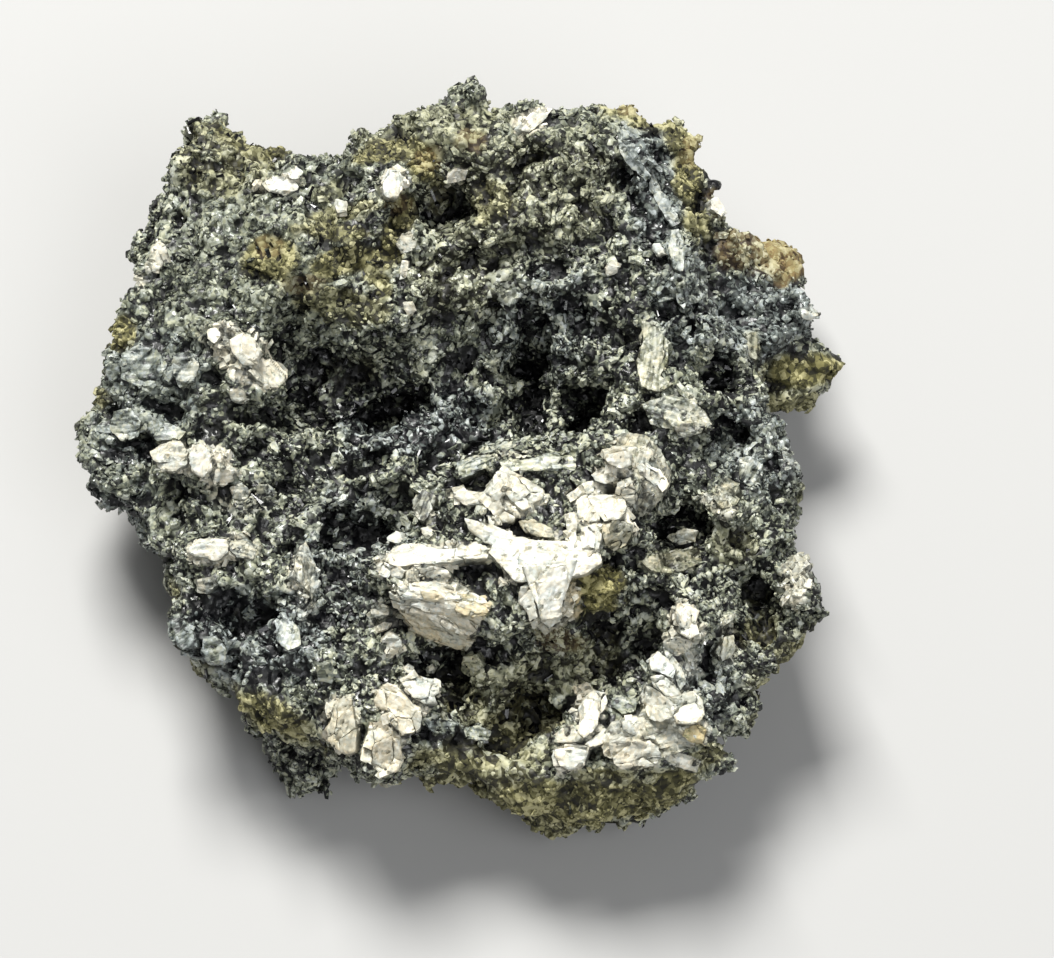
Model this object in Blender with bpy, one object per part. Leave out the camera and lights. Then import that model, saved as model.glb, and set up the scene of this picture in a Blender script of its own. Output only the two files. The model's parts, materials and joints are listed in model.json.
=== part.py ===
"""A straczekite specimen: one loose, broken stone of dark ore with pale crystals grown into it.

The stone lies on its base with its broken face up. Its width runs along X, the front of the
face is towards -Y, and Z is up from the surface that it rests on. The stone grew as one piece,
so it is one solid: a lump raised to the stone's rim and relief, with its spurs fused to it, pits
sunk into it, crumbly chips broken over it, and flat-faced crystals fused into it.
"""

import math

import bmesh
import bpy
import numpy as np
from mathutils import Euler, Matrix, Vector, noise
from mathutils.bvhtree import BVHTree

MM = 0.001

# Driving dimensions of the lump.
STONE_NAME = "stone"
NOISE_SEED = 11
FACE_SQUARENESS = 5.0
BASE_SQUARENESS = 2.3
BASE_DROP = 1.10
LEDGE_SHARPNESS = 2.3
LEDGE_SOFTNESS = 0.45 * MM
EDGE_WANDER = 0.42 * MM
EDGE_WANDER_SIZE = 1.6 * MM
JOINING_GRID = 0.22 * MM
CHIP_SIZE = 1.5 * MM
CHIP_HEIGHT = 0.30 * MM
CHIP_TILT = 0.42
GRIT_SIZE = 0.65 * MM
GRIT_HEIGHT = 0.12 * MM
SWELL_SIZE = 3.6 * MM
SWELL_HEIGHT = 0.35 * MM
STONE_FACES = 6200
CRYSTAL_SINK = 0.62
CRYSTAL_ROUGHNESS = 0.07
CRYSTAL_UPRIGHT = 1.2
FLOOR_CUT = 0.25 * MM

# A crystal's corners in a box one unit across: a block with some of its edges broken off.
CRYSTAL_CORNERS = (
    (-0.5, -0.42, -0.5), (-0.5, 0.5, -0.5), (0.5, -0.5, -0.5), (0.5, 0.4, -0.5), (-0.5, -0.3, 0.3),
    (-0.3, -0.5, 0.25), (-0.32, -0.32, 0.5), (-0.5, 0.45, 0.35), (-0.38, 0.5, 0.45),
    (0.5, -0.45, 0.4), (0.42, -0.5, 0.3), (0.38, -0.36, 0.5), (0.5, 0.25, 0.3), (0.3, 0.5, 0.3),
    (0.3, 0.3, 0.5),
)

# The rim is the widest line round the stone: bearing in degrees from +X, reach from the middle
# and height above the table in millimetres.
RIM = (
    (2.8, 8.97, 4.5), (8.5, 8.5, 4.2), (13.9, 8.35, 4.0), (17.8, 8.7, 4.0), (20.5, 9.8, 4.0),
    (23.5, 10.5, 4.0), (28.6, 10.45, 4.0), (34.3, 10.2, 4.2), (39.6, 10.0, 4.6), (44.1, 10.1, 5.0),
    (48.1, 10.3, 5.5), (52.0, 10.65, 5.9), (55.9, 10.75, 6.1), (59.5, 10.55, 6.3), (62.9, 10.1, 6.6),
    (66.8, 9.6, 6.8), (71.7, 9.15, 6.8), (78.9, 8.9, 6.8), (84.6, 8.95, 6.8), (87.9, 9.5, 7.0),
    (91.6, 9.2, 6.9), (99.1, 9.2, 6.6), (107.3, 9.2, 6.5), (113.8, 8.85, 6.4), (119.8, 9.2, 6.3),
    (126.6, 9.7, 6.1), (133.3, 10.2, 6.0), (139.2, 10.7, 5.6), (143.4, 10.75, 5.4),
    (147.9, 10.6, 5.2), (154.4, 10.0, 5.0), (159.3, 9.95, 4.7), (166.1, 9.75, 4.5),
    (175.8, 9.95, 4.5), (180.5, 10.2, 4.5), (186.4, 9.5, 4.5), (191.8, 8.95, 4.5),
    (197.1, 8.6, 4.5), (203.7, 8.4, 4.5), (207.4, 8.3, 4.5), (212.8, 8.7, 4.4),
    (218.1, 9.0, 4.3), (223.2, 8.8, 4.2), (227.9, 8.7, 4.0), (234.7, 8.95, 3.7), (241.1, 8.75, 3.7),
    (247.7, 8.9, 4.0), (254.1, 9.0, 4.2), (263.8, 8.7, 3.9), (268.8, 8.8, 3.5), (275.9, 9.15, 3.0),
    (281.7, 9.65, 2.7), (286.0, 10.1, 2.5), (289.9, 10.3, 2.6), (295.6, 10.5, 2.9),
    (301.6, 10.75, 3.1), (306.3, 11.0, 3.3), (309.9, 11.05, 3.6), (313.4, 10.75, 3.9),
    (318.8, 10.3, 4.0), (325.7, 10.05, 4.1), (330.4, 10.0, 4.3), (335.0, 10.0, 4.5),
    (339.3, 9.8, 4.5), (342.6, 9.4, 4.5), (346.5, 8.9, 4.5), (351.2, 9.15, 4.5), (355.2, 9.45, 4.5),
)

# Landforms of the broken face: places (x, y) and their height above the table, in millimetres.
LANDFORMS = {
    "back plateau": (
        (-8.1, 5.6, 6.3), (-6.6, 5.7, 7.3), (-4.3, 6.1, 7.9), (-1.9, 6.7, 8.2), (0.3, 7.7, 8.6),
        (2.5, 7.1, 8.4), (4.6, 7.6, 8.3), (6.0, 7.2, 7.2), (2.0, 5.8, 7.8), (4.1, 5.5, 7.7),
        (-0.4, 5.8, 7.1), (-3.0, 4.9, 7.8), (-5.1, 4.2, 7.3), (-6.9, 3.5, 6.7), (-8.6, 3.9, 5.8),
    ),
    "plateau front": (
        (0.4, 4.1, 6.9), (2.5, 4.2, 7.1), (4.2, 3.7, 6.9), (-1.7, 3.6, 7.0), (-3.1, 3.5, 6.9),
        (-3.1, 2.5, 6.1),
    ),
    "right ridge": (
        (5.9, 4.5, 7.7), (6.3, 2.6, 7.3), (5.1, 2.1, 6.8), (7.4, 1.8, 6.3), (7.8, 4.0, 5.6),
        (5.0, 0.8, 6.7), (6.0, 0.1, 6.9),
    ),
    "central hollow": (
        (-3.9, 2.0, 4.9), (-2.0, 1.7, 4.7), (-0.1, 1.9, 5.5), (-0.4, 0.4, 5.3), (1.9, 2.0, 4.8),
        (3.3, 1.3, 4.9), (1.0, 2.8, 5.8), (3.6, 2.6, 6.0),
    ),
    "white ledge": (
        (-1.1, -0.8, 5.8), (1.2, -0.8, 6.4), (1.2, -2.5, 7.0), (4.2, -1.7, 7.4), (5.0, -2.7, 7.2),
        (3.3, -3.3, 7.2), (1.9, -4.3, 7.1), (0.0, -4.1, 6.8), (-1.7, -4.3, 6.6), (-0.3, -5.2, 6.4),
        (2.0, -5.4, 6.8), (3.5, -4.9, 7.0),
    ),
    "right lobe": (
        (6.2, -0.9, 6.5), (6.8, -2.3, 6.6), (5.8, -2.8, 5.4), (8.0, -0.7, 6.0), (8.9, -0.6, 5.4),
        (7.7, -2.6, 5.7), (8.7, -4.1, 5.6), (7.6, -4.4, 4.9), (6.1, -5.0, 6.3),
    ),
    "left shoulder": (
        (-5.6, 1.9, 6.7), (-6.1, 0.6, 6.2), (-7.8, 2.1, 6.0), (-9.0, 0.6, 5.3), (-7.2, -1.0, 6.3),
        (-4.9, -0.4, 5.7), (-3.0, -0.9, 5.4), (-2.4, -2.3, 4.7), (-4.3, -2.1, 5.2),
        (-8.2, -2.0, 5.3),
    ),
    "left foot lobe": (
        (-6.1, -3.5, 6.1), (-7.1, -4.2, 5.3), (-4.2, -4.1, 5.9), (-3.1, -4.4, 4.9),
        (-5.4, -4.9, 4.9), (-6.6, -5.7, 5.3), (-4.2, -6.3, 5.5), (-4.9, -7.2, 5.0),
        (-3.4, -7.3, 5.2), (-2.0, -5.7, 5.5),
    ),
    "front trench": (
        (-0.3, -6.2, 4.5), (2.0, -6.2, 4.7), (3.8, -5.8, 4.5), (1.7, -7.1, 4.1), (0.5, -7.9, 4.3),
    ),
    "front shelf": (
        (-2.9, -8.2, 5.3), (-1.6, -7.5, 5.6), (-2.0, -8.6, 5.0), (3.3, -8.0, 5.5),
        (4.6, -8.6, 5.4), (5.8, -7.6, 5.6), (3.0, -9.0, 4.9), (5.1, -9.3, 4.3), (6.5, -8.6, 4.8),
        (5.3, -6.2, 5.7), (7.0, -6.7, 5.1),
    ),
}

# Pits sunk into the face: x, y, radius along X, radius along Y and depth, in millimetres.
PITS = {
    "hollow, left end": (-3.8, 2.3, 0.75, 0.75, 1.0),
    "hollow, middle": (-2.1, 1.7, 0.8, 0.6, 0.9),
    "gash": (1.8, 2.3, 0.38, 1.6, 1.5),
    "gash, right": (3.3, 1.2, 0.6, 0.7, 1.2),
    "gash, foot": (1.1, 1.1, 0.5, 0.3, 0.9),
    "plateau pocket": (-0.4, 6.0, 0.6, 0.45, 1.0),
    "hole left of the hollow": (-4.2, 3.1, 0.4, 0.4, 0.9),
    "slot behind the ring": (-0.2, -1.4, 0.45, 0.28, 0.9),
    "left trench": (-2.4, -2.3, 0.85, 0.36, 1.0),
    "hole in the white ledge": (0.4, -4.5, 0.45, 0.36, 1.1),
    "hole under the ledge": (3.7, -5.4, 0.65, 0.5, 1.1),
    "band under the ledge": (-0.6, -6.0, 1.1, 0.4, 0.8),
    "front pocket": (1.7, -7.2, 0.7, 0.5, 0.9),
    "front hole": (-0.5, -6.8, 0.28, 0.28, 0.8),
    "ridge notch": (6.8, 1.6, 0.5, 0.38, 1.6),
    "lobe pit, back": (7.3, -0.1, 0.45, 0.3, 1.1),
    "lobe pit, middle": (6.2, -1.8, 0.4, 0.3, 0.8),
    "lobe pit, front": (5.7, -2.7, 0.9, 0.4, 0.9),
    "rim slot": (7.7, -4.4, 0.32, 0.8, 1.1),
    "left foot pit": (-5.5, -4.8, 0.6, 0.36, 0.9),
    "left foot pit, low": (-6.1, -6.1, 0.5, 0.34, 0.7),
    "back wall pocket": (-3.6, 8.3, 0.9, 0.7, 0.8),
}

# Spurs on the rim: middle (x, y, z), half sizes and turn (tip, roll, bearing in degrees),
# lengths in millimetres.
SPURS = {
    "horn root": ((-6.85, 7.6, 6.0), (1.15, 1.3, 1.3), (0, 0, 30)),
    "horn": ((-6.9, 8.8, 6.0), (0.85, 0.8, 0.95), (0, 20, 15)),
    "horn tip": ((-6.5, 9.4, 6.0), (0.5, 0.4, 0.45), (0, 0, 15)),
    "horn arm": ((-5.7, 8.2, 6.2), (1.2, 0.65, 0.85), (0, 0, -20)),
    "tab root": ((7.9, 5.9, 3.4), (1.6, 1.0, 0.9), (0, 0, 30)),
    "tab": ((8.8, 6.6, 2.9), (0.75, 0.75, 0.8), (0, 0, 20)),
    "right spur": ((9.0, 3.0, 3.2), (1.4, 1.05, 0.95), (0, 0, 12)),
    "right spur tip": ((9.9, 3.35, 3.3), (0.85, 0.5, 0.5), (0, 0, 12)),
    "back knob": ((0.4, 9.1, 7.7), (0.6, 0.55, 0.65), (0, 0, 0)),
    "low foot": ((-4.2, -6.9, 1.3), (1.0, 1.5, 1.1), (0, 0, 10)),
    "back heel": ((3.0, 7.0, 2.2), (3.2, 2.2, 2.4), (0, 0, -15)),
    "left heel": ((-6.2, 2.5, 2.0), (2.3, 3.0, 2.1), (0, 0, 12)),
}

# Pale crystals standing out of the face: middle (x, y), then length, width and height,
# lengths in millimetres, and turn about Z and tip towards the front in degrees.
CRYSTALS = {
    "rim wedge": (1.8, 8.6, 1.3, 0.7, 0.8, 28, 20),
    "back grain": (-1.9, 6.5, 0.75, 0.9, 0.6, 10, 0),
    "horn bar": (-5.2, 6.8, 1.5, 0.5, 0.6, 8, 0),
    "left rim bar": (-8.2, 5.0, 1.2, 0.42, 0.5, 65, 0),
    "left slab, upper": (-5.9, 2.3, 1.5, 1.0, 0.7, -35, 10),
    "left slab, lower": (-5.0, 1.7, 1.4, 1.0, 0.7, -30, -5),
    "shoulder slab": (-7.4, -0.9, 1.6, 0.9, 0.6, 10, 0),
    "shoulder chip": (-6.5, -1.1, 0.8, 1.2, 0.6, -25, 0),
    "foot bar": (-6.2, -3.4, 1.9, 0.6, 0.5, 0, 5),
    "foot spine": (-4.2, -4.2, 0.6, 1.7, 0.6, 8, 0),
    "foot plate, outer": (-6.1, -5.6, 0.9, 0.8, 0.4, 30, 18),
    "foot plate, inner": (-5.4, -6.2, 0.8, 0.7, 0.4, -20, 18),
    "foot plate, front": (-4.3, -6.1, 1.2, 0.9, 0.4, 15, 25),
    "foot block": (-3.9, -7.1, 1.5, 0.9, 0.6, 25, 10),
    "pale bar": (2.0, -1.1, 2.6, 0.65, 0.7, 2, 10),
    "pale bar, end": (0.3, -1.2, 1.0, 0.6, 0.6, 30, 0),
    "ring, left side": (0.9, -2.4, 0.65, 1.6, 0.8, -28, 0),
    "ring, right side": (1.6, -2.3, 1.3, 1.0, 0.8, -22, 5),
    "ledge grain": (4.0, -1.3, 0.85, 0.8, 0.9, 0, 0),
    "ledge crest": (4.8, -2.0, 1.4, 1.6, 0.8, 20, -8),
    "ledge cube": (3.9, -2.9, 1.2, 1.1, 0.9, 5, 8),
    "ledge blade, left": (3.0, -3.1, 0.6, 2.0, 0.8, -6, 0),
    "ledge blade, right": (3.5, -3.7, 0.7, 1.4, 0.8, -4, 0),
    "ledge slab, left": (1.1, -4.1, 1.3, 1.0, 0.6, -14, 5),
    "ledge slab, middle": (2.1, -4.0, 1.2, 1.1, 0.7, 18, 0),
    "ledge slab, right": (2.9, -4.6, 1.0, 1.2, 0.6, -25, 8),
    "ledge slab, front": (2.1, -5.1, 1.1, 1.0, 0.6, 10, 15),
    "ledge arm": (-0.4, -3.9, 2.1, 0.7, 0.6, 8, 0),
    "ledge arm, end": (-1.8, -4.3, 1.1, 0.8, 0.6, 25, 0),
    "fan blade, back": (-0.3, -5.0, 2.7, 0.5, 0.5, -14, 12),
    "fan blade, middle": (-0.2, -5.4, 2.9, 0.5, 0.5, -20, 16),
    "fan blade, front": (0.1, -5.8, 2.6, 0.45, 0.5, -25, 20),
    "shelf wedge": (-3.1, -8.1, 0.9, 1.7, 0.9, 12, 12),
    "shelf block": (-2.0, -8.5, 1.2, 1.2, 1.0, -8, 8),
    "shelf block, back": (-1.5, -7.5, 1.5, 1.3, 0.9, -25, 4),
    "shelf bar": (-0.8, -6.9, 1.4, 0.6, 0.7, -12, 0),
    "corner block": (3.0, -8.8, 1.2, 0.9, 0.8, -6, 12),
    "corner spine": (3.4, -7.7, 0.75, 1.7, 0.8, -18, 6),
    "corner slab, left": (4.3, -8.3, 1.1, 1.4, 0.8, -15, 8),
    "corner slab, right": (5.3, -8.4, 1.1, 1.2, 0.8, 12, 4),
    "corner bar, back": (5.5, -7.0, 2.2, 0.65, 0.7, -42, 6),
    "corner bar, front": (5.9, -7.7, 1.9, 0.9, 0.8, -30, 10),
    "corner cap": (6.3, -8.6, 1.5, 0.9, 0.7, -25, 14),
    "ridge bar": (5.1, 1.7, 0.7, 1.6, 0.7, 4, 5),
    "ridge block": (5.1, 0.7, 0.9, 0.9, 0.8, 0, 8),
    "ridge slab": (6.0, 0.2, 1.6, 0.9, 0.7, -12, 0),
    "lobe block": (6.8, -2.3, 0.9, 1.0, 0.8, 15, 0),
    "lobe rim block": (8.8, -0.7, 0.8, 1.1, 0.8, 20, 0),
    "lobe rim crust": (8.7, -4.0, 0.9, 1.5, 0.7, 12, 0),
    "lobe front chip": (5.8, -5.6, 0.9, 0.8, 0.7, 30, 5),
}


def clear_scene():
    for obj in list(bpy.data.objects):
        bpy.data.objects.remove(obj)


def stone_material():
    """Dark greenish ore: rough, with no metal in it."""
    material = bpy.data.materials.new("dark_ore")
    material.use_nodes = True
    shader = material.node_tree.nodes["Principled BSDF"]
    shader.inputs["Base Color"].default_value = (0.075, 0.085, 0.075, 1.0)
    shader.inputs["Roughness"].default_value = 0.55
    shader.inputs["Metallic"].default_value = 0.0
    return material


def link_object(name, mesh):
    obj = bpy.data.objects.new(name, mesh)
    bpy.context.scene.collection.objects.link(obj)
    return obj


def evaluated_mesh(obj):
    """The object's mesh with its modifiers applied."""
    graph = bpy.context.evaluated_depsgraph_get()
    return bpy.data.meshes.new_from_object(obj.evaluated_get(graph), depsgraph=graph)


def point_array(mesh):
    points = np.empty(len(mesh.vertices) * 3)
    mesh.vertices.foreach_get("co", points)
    return points.reshape(-1, 3)


def set_points(mesh, points):
    mesh.vertices.foreach_set("co", points.ravel())
    mesh.update()


def rim_at(bearing):
    """Reach and height of the rim at bearings in radians, in metres."""
    table = np.array(RIM)
    turns = np.degrees(bearing) % 360
    reach = np.interp(turns, table[:, 0], table[:, 1], period=360)
    height = np.interp(turns, table[:, 0], table[:, 2], period=360)
    return reach * MM, height * MM


def face_height(x, y):
    """Height of the broken face: each landform holds its own height around it, so that
    neighbours meet in ledges. Its edges wander, as broken ones do."""
    wander = np.array([noise.noise_vector(Vector(place) / EDGE_WANDER_SIZE) for place in zip(x, y, x)])
    x = x + EDGE_WANDER * wander[:, 0]
    y = y + EDGE_WANDER * wander[:, 1]
    places = np.array([place for form in LANDFORMS.values() for place in form]) * MM
    gap = (x[:, None] - places[:, 0]) ** 2 + (y[:, None] - places[:, 1]) ** 2
    pull = (gap + LEDGE_SOFTNESS**2) ** -LEDGE_SHARPNESS
    height = (pull * places[:, 2]).sum(axis=1) / pull.sum(axis=1)
    for pit_x, pit_y, radius_x, radius_y, depth in PITS.values():
        across = (x / MM - pit_x) / radius_x
        along = (y / MM - pit_y) / radius_y
        height -= depth * MM * np.exp(-((across**2 + along**2) ** 1.5))
    return height


def lump_mesh():
    """A ball drawn out to the rim, raised to the face above it and tucked in to the base below."""
    form = bmesh.new()
    bmesh.ops.create_icosphere(form, subdivisions=7, radius=1.0)
    mesh = bpy.data.meshes.new("lump")
    form.to_mesh(mesh)
    form.free()
    ball = point_array(mesh)
    flat = np.hypot(ball[:, 0], ball[:, 1])
    lift = np.abs(ball[:, 2])
    above = ball[:, 2] >= 0
    power = np.where(above, FACE_SQUARENESS, BASE_SQUARENESS)
    size = (flat**power + lift**power) ** (1 / power)
    out, rise = flat / size, lift / size
    bearing = np.arctan2(ball[:, 1], ball[:, 0])
    reach, rim_height = rim_at(bearing)
    x = reach * out * np.cos(bearing)
    y = reach * out * np.sin(bearing)
    top = rim_height + (face_height(x, y) - rim_height) * rise
    bottom = rim_height * (1 - BASE_DROP * rise)
    set_points(mesh, np.column_stack([x, y, np.where(above, top, bottom)]))
    return mesh


def spur_mesh(place, half_sizes, turn):
    """A rounded chunk that stands out of the rim."""
    form = bmesh.new()
    bmesh.ops.create_icosphere(form, subdivisions=4, radius=1.0)
    size = Matrix.Diagonal([*(Vector(half_sizes) * MM), 1.0])
    turned = Euler([math.radians(angle) for angle in turn]).to_matrix().to_4x4()
    form.transform(Matrix.Translation(Vector(place) * MM) @ turned @ size)
    mesh = bpy.data.meshes.new("spur")
    form.to_mesh(mesh)
    form.free()
    return mesh


def joined_mesh(name, meshes):
    """Several meshes as one, which stay separate bodies inside it."""
    form = bmesh.new()
    for mesh in meshes:
        form.from_mesh(mesh)
    joined = bpy.data.meshes.new(name)
    form.to_mesh(joined)
    form.free()
    return joined


def fused_lump():
    """The lump and its spurs as one skin."""
    spurs = [spur_mesh(*spur) for spur in SPURS.values()]
    lump = link_object("lump", joined_mesh("lump with spurs", [lump_mesh(), *spurs]))
    remesh = lump.modifiers.new("one skin", "REMESH")
    remesh.mode = "VOXEL"
    remesh.voxel_size = JOINING_GRID
    fused = evaluated_mesh(lump)
    bpy.data.objects.remove(lump)
    return fused


def chip_height(point):
    """Height of the broken surface at a point: chips with tilted flats and cracks between them."""
    distances, centres = noise.voronoi(point / CHIP_SIZE)
    lean = noise.noise_vector(centres[0] * 7.3)
    flat = lean.dot(point / CHIP_SIZE - centres[0]) * CHIP_TILT
    crack = min(distances[1] - distances[0], 0.35) / 0.35
    return CHIP_HEIGHT * (flat * 2 + crack - 0.7)


def crumble(mesh):
    """Moves the skin out and in along its normals: slow swells, chips and grit."""
    points = point_array(mesh)
    normals = np.empty_like(points)
    mesh.vertices.foreach_get("normal", normals.reshape(-1))
    for index, place in enumerate(points):
        point = Vector(place)
        swell = SWELL_HEIGHT * noise.noise(point / SWELL_SIZE)
        grit = GRIT_HEIGHT * noise.noise(point / GRIT_SIZE)
        points[index] += normals[index] * (swell + chip_height(point) + grit)
    set_points(mesh, points)


def thinned(mesh, faces):
    """The mesh brought down to about that many triangles."""
    obj = link_object("thinned", mesh)
    decimate = obj.modifiers.new("fewer faces", "DECIMATE")
    decimate.use_collapse_triangulate = True
    decimate.ratio = faces / (2 * len(mesh.polygons))
    thin = evaluated_mesh(obj)
    bpy.data.objects.remove(obj)
    return thin


def crystal_mesh(surface, x, y, length, width, height, turn, tip, seed):
    """A blocky crystal with flat faces, set into the stone where it stands."""
    above = Vector((x * MM, y * MM, 0.05))
    hit, normal, _, _ = surface.ray_cast(above, Vector((0, 0, -1)))
    random = np.random.default_rng(seed)
    form = bmesh.new()
    for corner in CRYSTAL_CORNERS:
        form.verts.new(Vector(corner) + Vector(random.uniform(-1, 1, 3)) * CRYSTAL_ROUGHNESS)
    hull = bmesh.ops.convex_hull(form, input=form.verts)
    inner = [geometry for geometry in hull["geom_interior"] if isinstance(geometry, bmesh.types.BMVert)]
    bmesh.ops.delete(form, geom=inner, context="VERTS")
    size = Matrix.Diagonal([length * MM, width * MM, 2 * height * MM, 1.0])
    lean = Vector((0, 0, 1)).rotation_difference(normal + Vector((0, 0, CRYSTAL_UPRIGHT)))
    tipped = Euler((math.radians(tip), 0, 0)).to_matrix().to_4x4()
    turned = Euler((0, 0, math.radians(turn))).to_matrix().to_4x4()
    sunk = hit - normal * height * MM * CRYSTAL_SINK
    form.transform(Matrix.Translation(sunk) @ lean.to_matrix().to_4x4() @ tipped @ turned @ size)
    mesh = bpy.data.meshes.new("crystal")
    form.to_mesh(mesh)
    form.free()
    return mesh


def helper(name, mesh):
    """An object that only cuts or joins, and isn't a part of the stone by itself."""
    obj = link_object(name, mesh)
    obj.hide_render = True
    obj.display_type = "WIRE"
    return obj


def add_boolean(obj, name, operation, other):
    boolean = obj.modifiers.new(name, "BOOLEAN")
    boolean.operation = operation
    boolean.solver = "EXACT"
    boolean.use_self = operation == "UNION"
    boolean.object = other


def all_crystals(mesh):
    """Every crystal, standing on the stone's own surface."""
    form = bmesh.new()
    form.from_mesh(mesh)
    surface = BVHTree.FromBMesh(form)
    crystals = [
        crystal_mesh(surface, *numbers, seed) for seed, numbers in enumerate(CRYSTALS.values())
    ]
    form.free()
    return joined_mesh("crystals", crystals)


def floor_mesh():
    """A slab whose top is the table, which cuts the stone's base flat."""
    form = bmesh.new()
    bmesh.ops.create_cube(form, size=1.0)
    reach, depth = 0.04, 0.01
    form.transform(Matrix.Diagonal((reach, reach, depth, 1.0)))
    form.transform(Matrix.Translation((0, 0, FLOOR_CUT - depth / 2)))
    mesh = bpy.data.meshes.new("floor")
    form.to_mesh(mesh)
    form.free()
    return mesh


def centred(mesh):
    """Moves the stone so that it stands on Z = 0 with the middle of its box over the origin."""
    points = point_array(mesh)
    low, high = points.min(axis=0), points.max(axis=0)
    middle = (low + high) / 2
    set_points(mesh, points - [middle[0], middle[1], low[2]])


def build_stone():
    skin = fused_lump()
    crumble(skin)
    skin = thinned(skin, STONE_FACES)
    stone = link_object("rough stone", skin)
    add_boolean(stone, "crystals", "UNION", helper("crystals", all_crystals(skin)))
    add_boolean(stone, "flat base", "DIFFERENCE", helper("floor", floor_mesh()))
    finished = evaluated_mesh(stone)
    for obj in list(bpy.data.objects):
        bpy.data.objects.remove(obj)
    centred(finished)
    finished.materials.clear()
    finished.materials.append(stone_material())
    finished.name = STONE_NAME
    return link_object(STONE_NAME, finished)


noise.seed_set(NOISE_SEED)
clear_scene()
build_stone()
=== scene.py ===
# %% [markdown]
# # A straczekite specimen
#
# The stone is about two centimetres wide: a crumbly dark ore with scaly grey-green grains,
# near-black laths in its hollows, ochre and olive crusts, and a cream-white mineral that has
# grown through its front. This lesson dresses the plain solid from the CAD frame in those
# minerals. Everything below is in metres, in the frame's own axes: the stone lies on Z = 0, its
# width runs along X, and the camera looks from the front, -Y, and above.

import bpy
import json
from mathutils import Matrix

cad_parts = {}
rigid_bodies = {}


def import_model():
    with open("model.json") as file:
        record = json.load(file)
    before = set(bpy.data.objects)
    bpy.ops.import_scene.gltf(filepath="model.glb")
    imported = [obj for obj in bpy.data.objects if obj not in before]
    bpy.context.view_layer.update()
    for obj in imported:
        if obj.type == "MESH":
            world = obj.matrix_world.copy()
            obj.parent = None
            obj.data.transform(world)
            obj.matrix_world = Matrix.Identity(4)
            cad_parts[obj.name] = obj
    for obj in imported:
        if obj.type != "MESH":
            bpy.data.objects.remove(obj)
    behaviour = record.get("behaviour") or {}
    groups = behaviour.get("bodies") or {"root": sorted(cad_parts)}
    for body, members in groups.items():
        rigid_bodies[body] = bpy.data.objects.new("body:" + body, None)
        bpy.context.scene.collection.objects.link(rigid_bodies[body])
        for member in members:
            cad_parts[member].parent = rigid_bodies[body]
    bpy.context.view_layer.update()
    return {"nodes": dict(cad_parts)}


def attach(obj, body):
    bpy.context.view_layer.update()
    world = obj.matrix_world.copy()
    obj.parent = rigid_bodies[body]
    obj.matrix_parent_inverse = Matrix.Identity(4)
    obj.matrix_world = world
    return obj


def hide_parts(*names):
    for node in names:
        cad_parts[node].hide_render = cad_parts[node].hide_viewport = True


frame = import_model()
print("CAD nodes:", sorted(frame["nodes"]))

# %% Tools and units
import json
import math

import bmesh
import bpy
import numpy as np
from mathutils import Vector, geometry, noise
from mathutils.bvhtree import BVHTree
from mathutils.kdtree import KDTree

MM = 0.001
NOISE_SEED = 11
noise.seed_set(NOISE_SEED)


def link_object(name, mesh):
    """A new object at the origin that shows the mesh."""
    obj = bpy.data.objects.new(name, mesh)
    bpy.context.scene.collection.objects.link(obj)
    return obj


def evaluated_mesh(obj):
    """A plain mesh of the object with its modifiers applied."""
    graph = bpy.context.evaluated_depsgraph_get()
    return bpy.data.meshes.new_from_object(obj.evaluated_get(graph), depsgraph=graph)


def point_array(mesh):
    """The mesh's points as rows of x, y, z."""
    points = np.empty(len(mesh.vertices) * 3)
    mesh.vertices.foreach_get("co", points)
    return points.reshape(-1, 3)


def normal_array(mesh):
    """The mesh's point normals as rows of x, y, z."""
    normals = np.empty(len(mesh.vertices) * 3)
    mesh.vertices.foreach_get("normal", normals)
    return normals.reshape(-1, 3)


def smooth_step(value, low, high):
    """0 below low, 1 above high and a soft ramp between them, for whole arrays."""
    ramp = np.clip((value - low) / (high - low), 0, 1)
    return ramp * ramp * (3 - 2 * ramp)


print("numpy", np.__version__, "- lengths in metres, one millimetre is", MM)

# %% [markdown]
# ## The camera
#
# The stone is seen from the front and well above, at about 65 degrees. The camera is far away
# for its size, as a close-up lens is, so the stone has little perspective. `picture_of` does
# what the camera does: it turns points into picture positions, counted in pixels of a picture
# 1054 wide and 958 high, so that a mineral patch can be named by where it shows.

# %% Camera
PICTURE_SIZE = (1054, 958)
PICTURE_MIDDLE = (527, 479)
VIEW_RISE = math.radians(65)
VIEW_DISTANCE = 140 * MM
PIXELS_PER_MM = 38
AIM = Vector((1.67, -0.70, 4.5)) * MM
SENSOR_WIDTH = 36.0

VIEW_RIGHT = Vector((1, 0, 0))
VIEW_UP = Vector((0, math.sin(VIEW_RISE), math.cos(VIEW_RISE)))
VIEW_BACK = Vector((0, -math.cos(VIEW_RISE), math.sin(VIEW_RISE)))
EYE = AIM + VIEW_BACK * VIEW_DISTANCE

camera_data = bpy.data.cameras.new("camera")
camera_data.sensor_width = SENSOR_WIDTH
camera_data.lens = SENSOR_WIDTH * VIEW_DISTANCE / (PICTURE_SIZE[0] / PIXELS_PER_MM * MM)
camera_data.clip_start = 1 * MM
camera_data.clip_end = 10.0
camera = bpy.data.objects.new("camera", camera_data)
bpy.context.scene.collection.objects.link(camera)
camera.location = EYE
camera.rotation_euler = (math.pi / 2 - VIEW_RISE, 0, 0)
bpy.context.scene.camera = camera


def picture_of(points):
    """Picture positions (x, y) in pixels, and how far each point is in front of the aim."""
    offset = points - np.array(AIM)
    near = offset @ np.array(VIEW_BACK)
    scale = PIXELS_PER_MM / MM * VIEW_DISTANCE / (VIEW_DISTANCE - near)
    x = PICTURE_MIDDLE[0] + offset @ np.array(VIEW_RIGHT) * scale
    y = PICTURE_MIDDLE[1] - offset @ np.array(VIEW_UP) * scale
    return x, y, near


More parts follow.
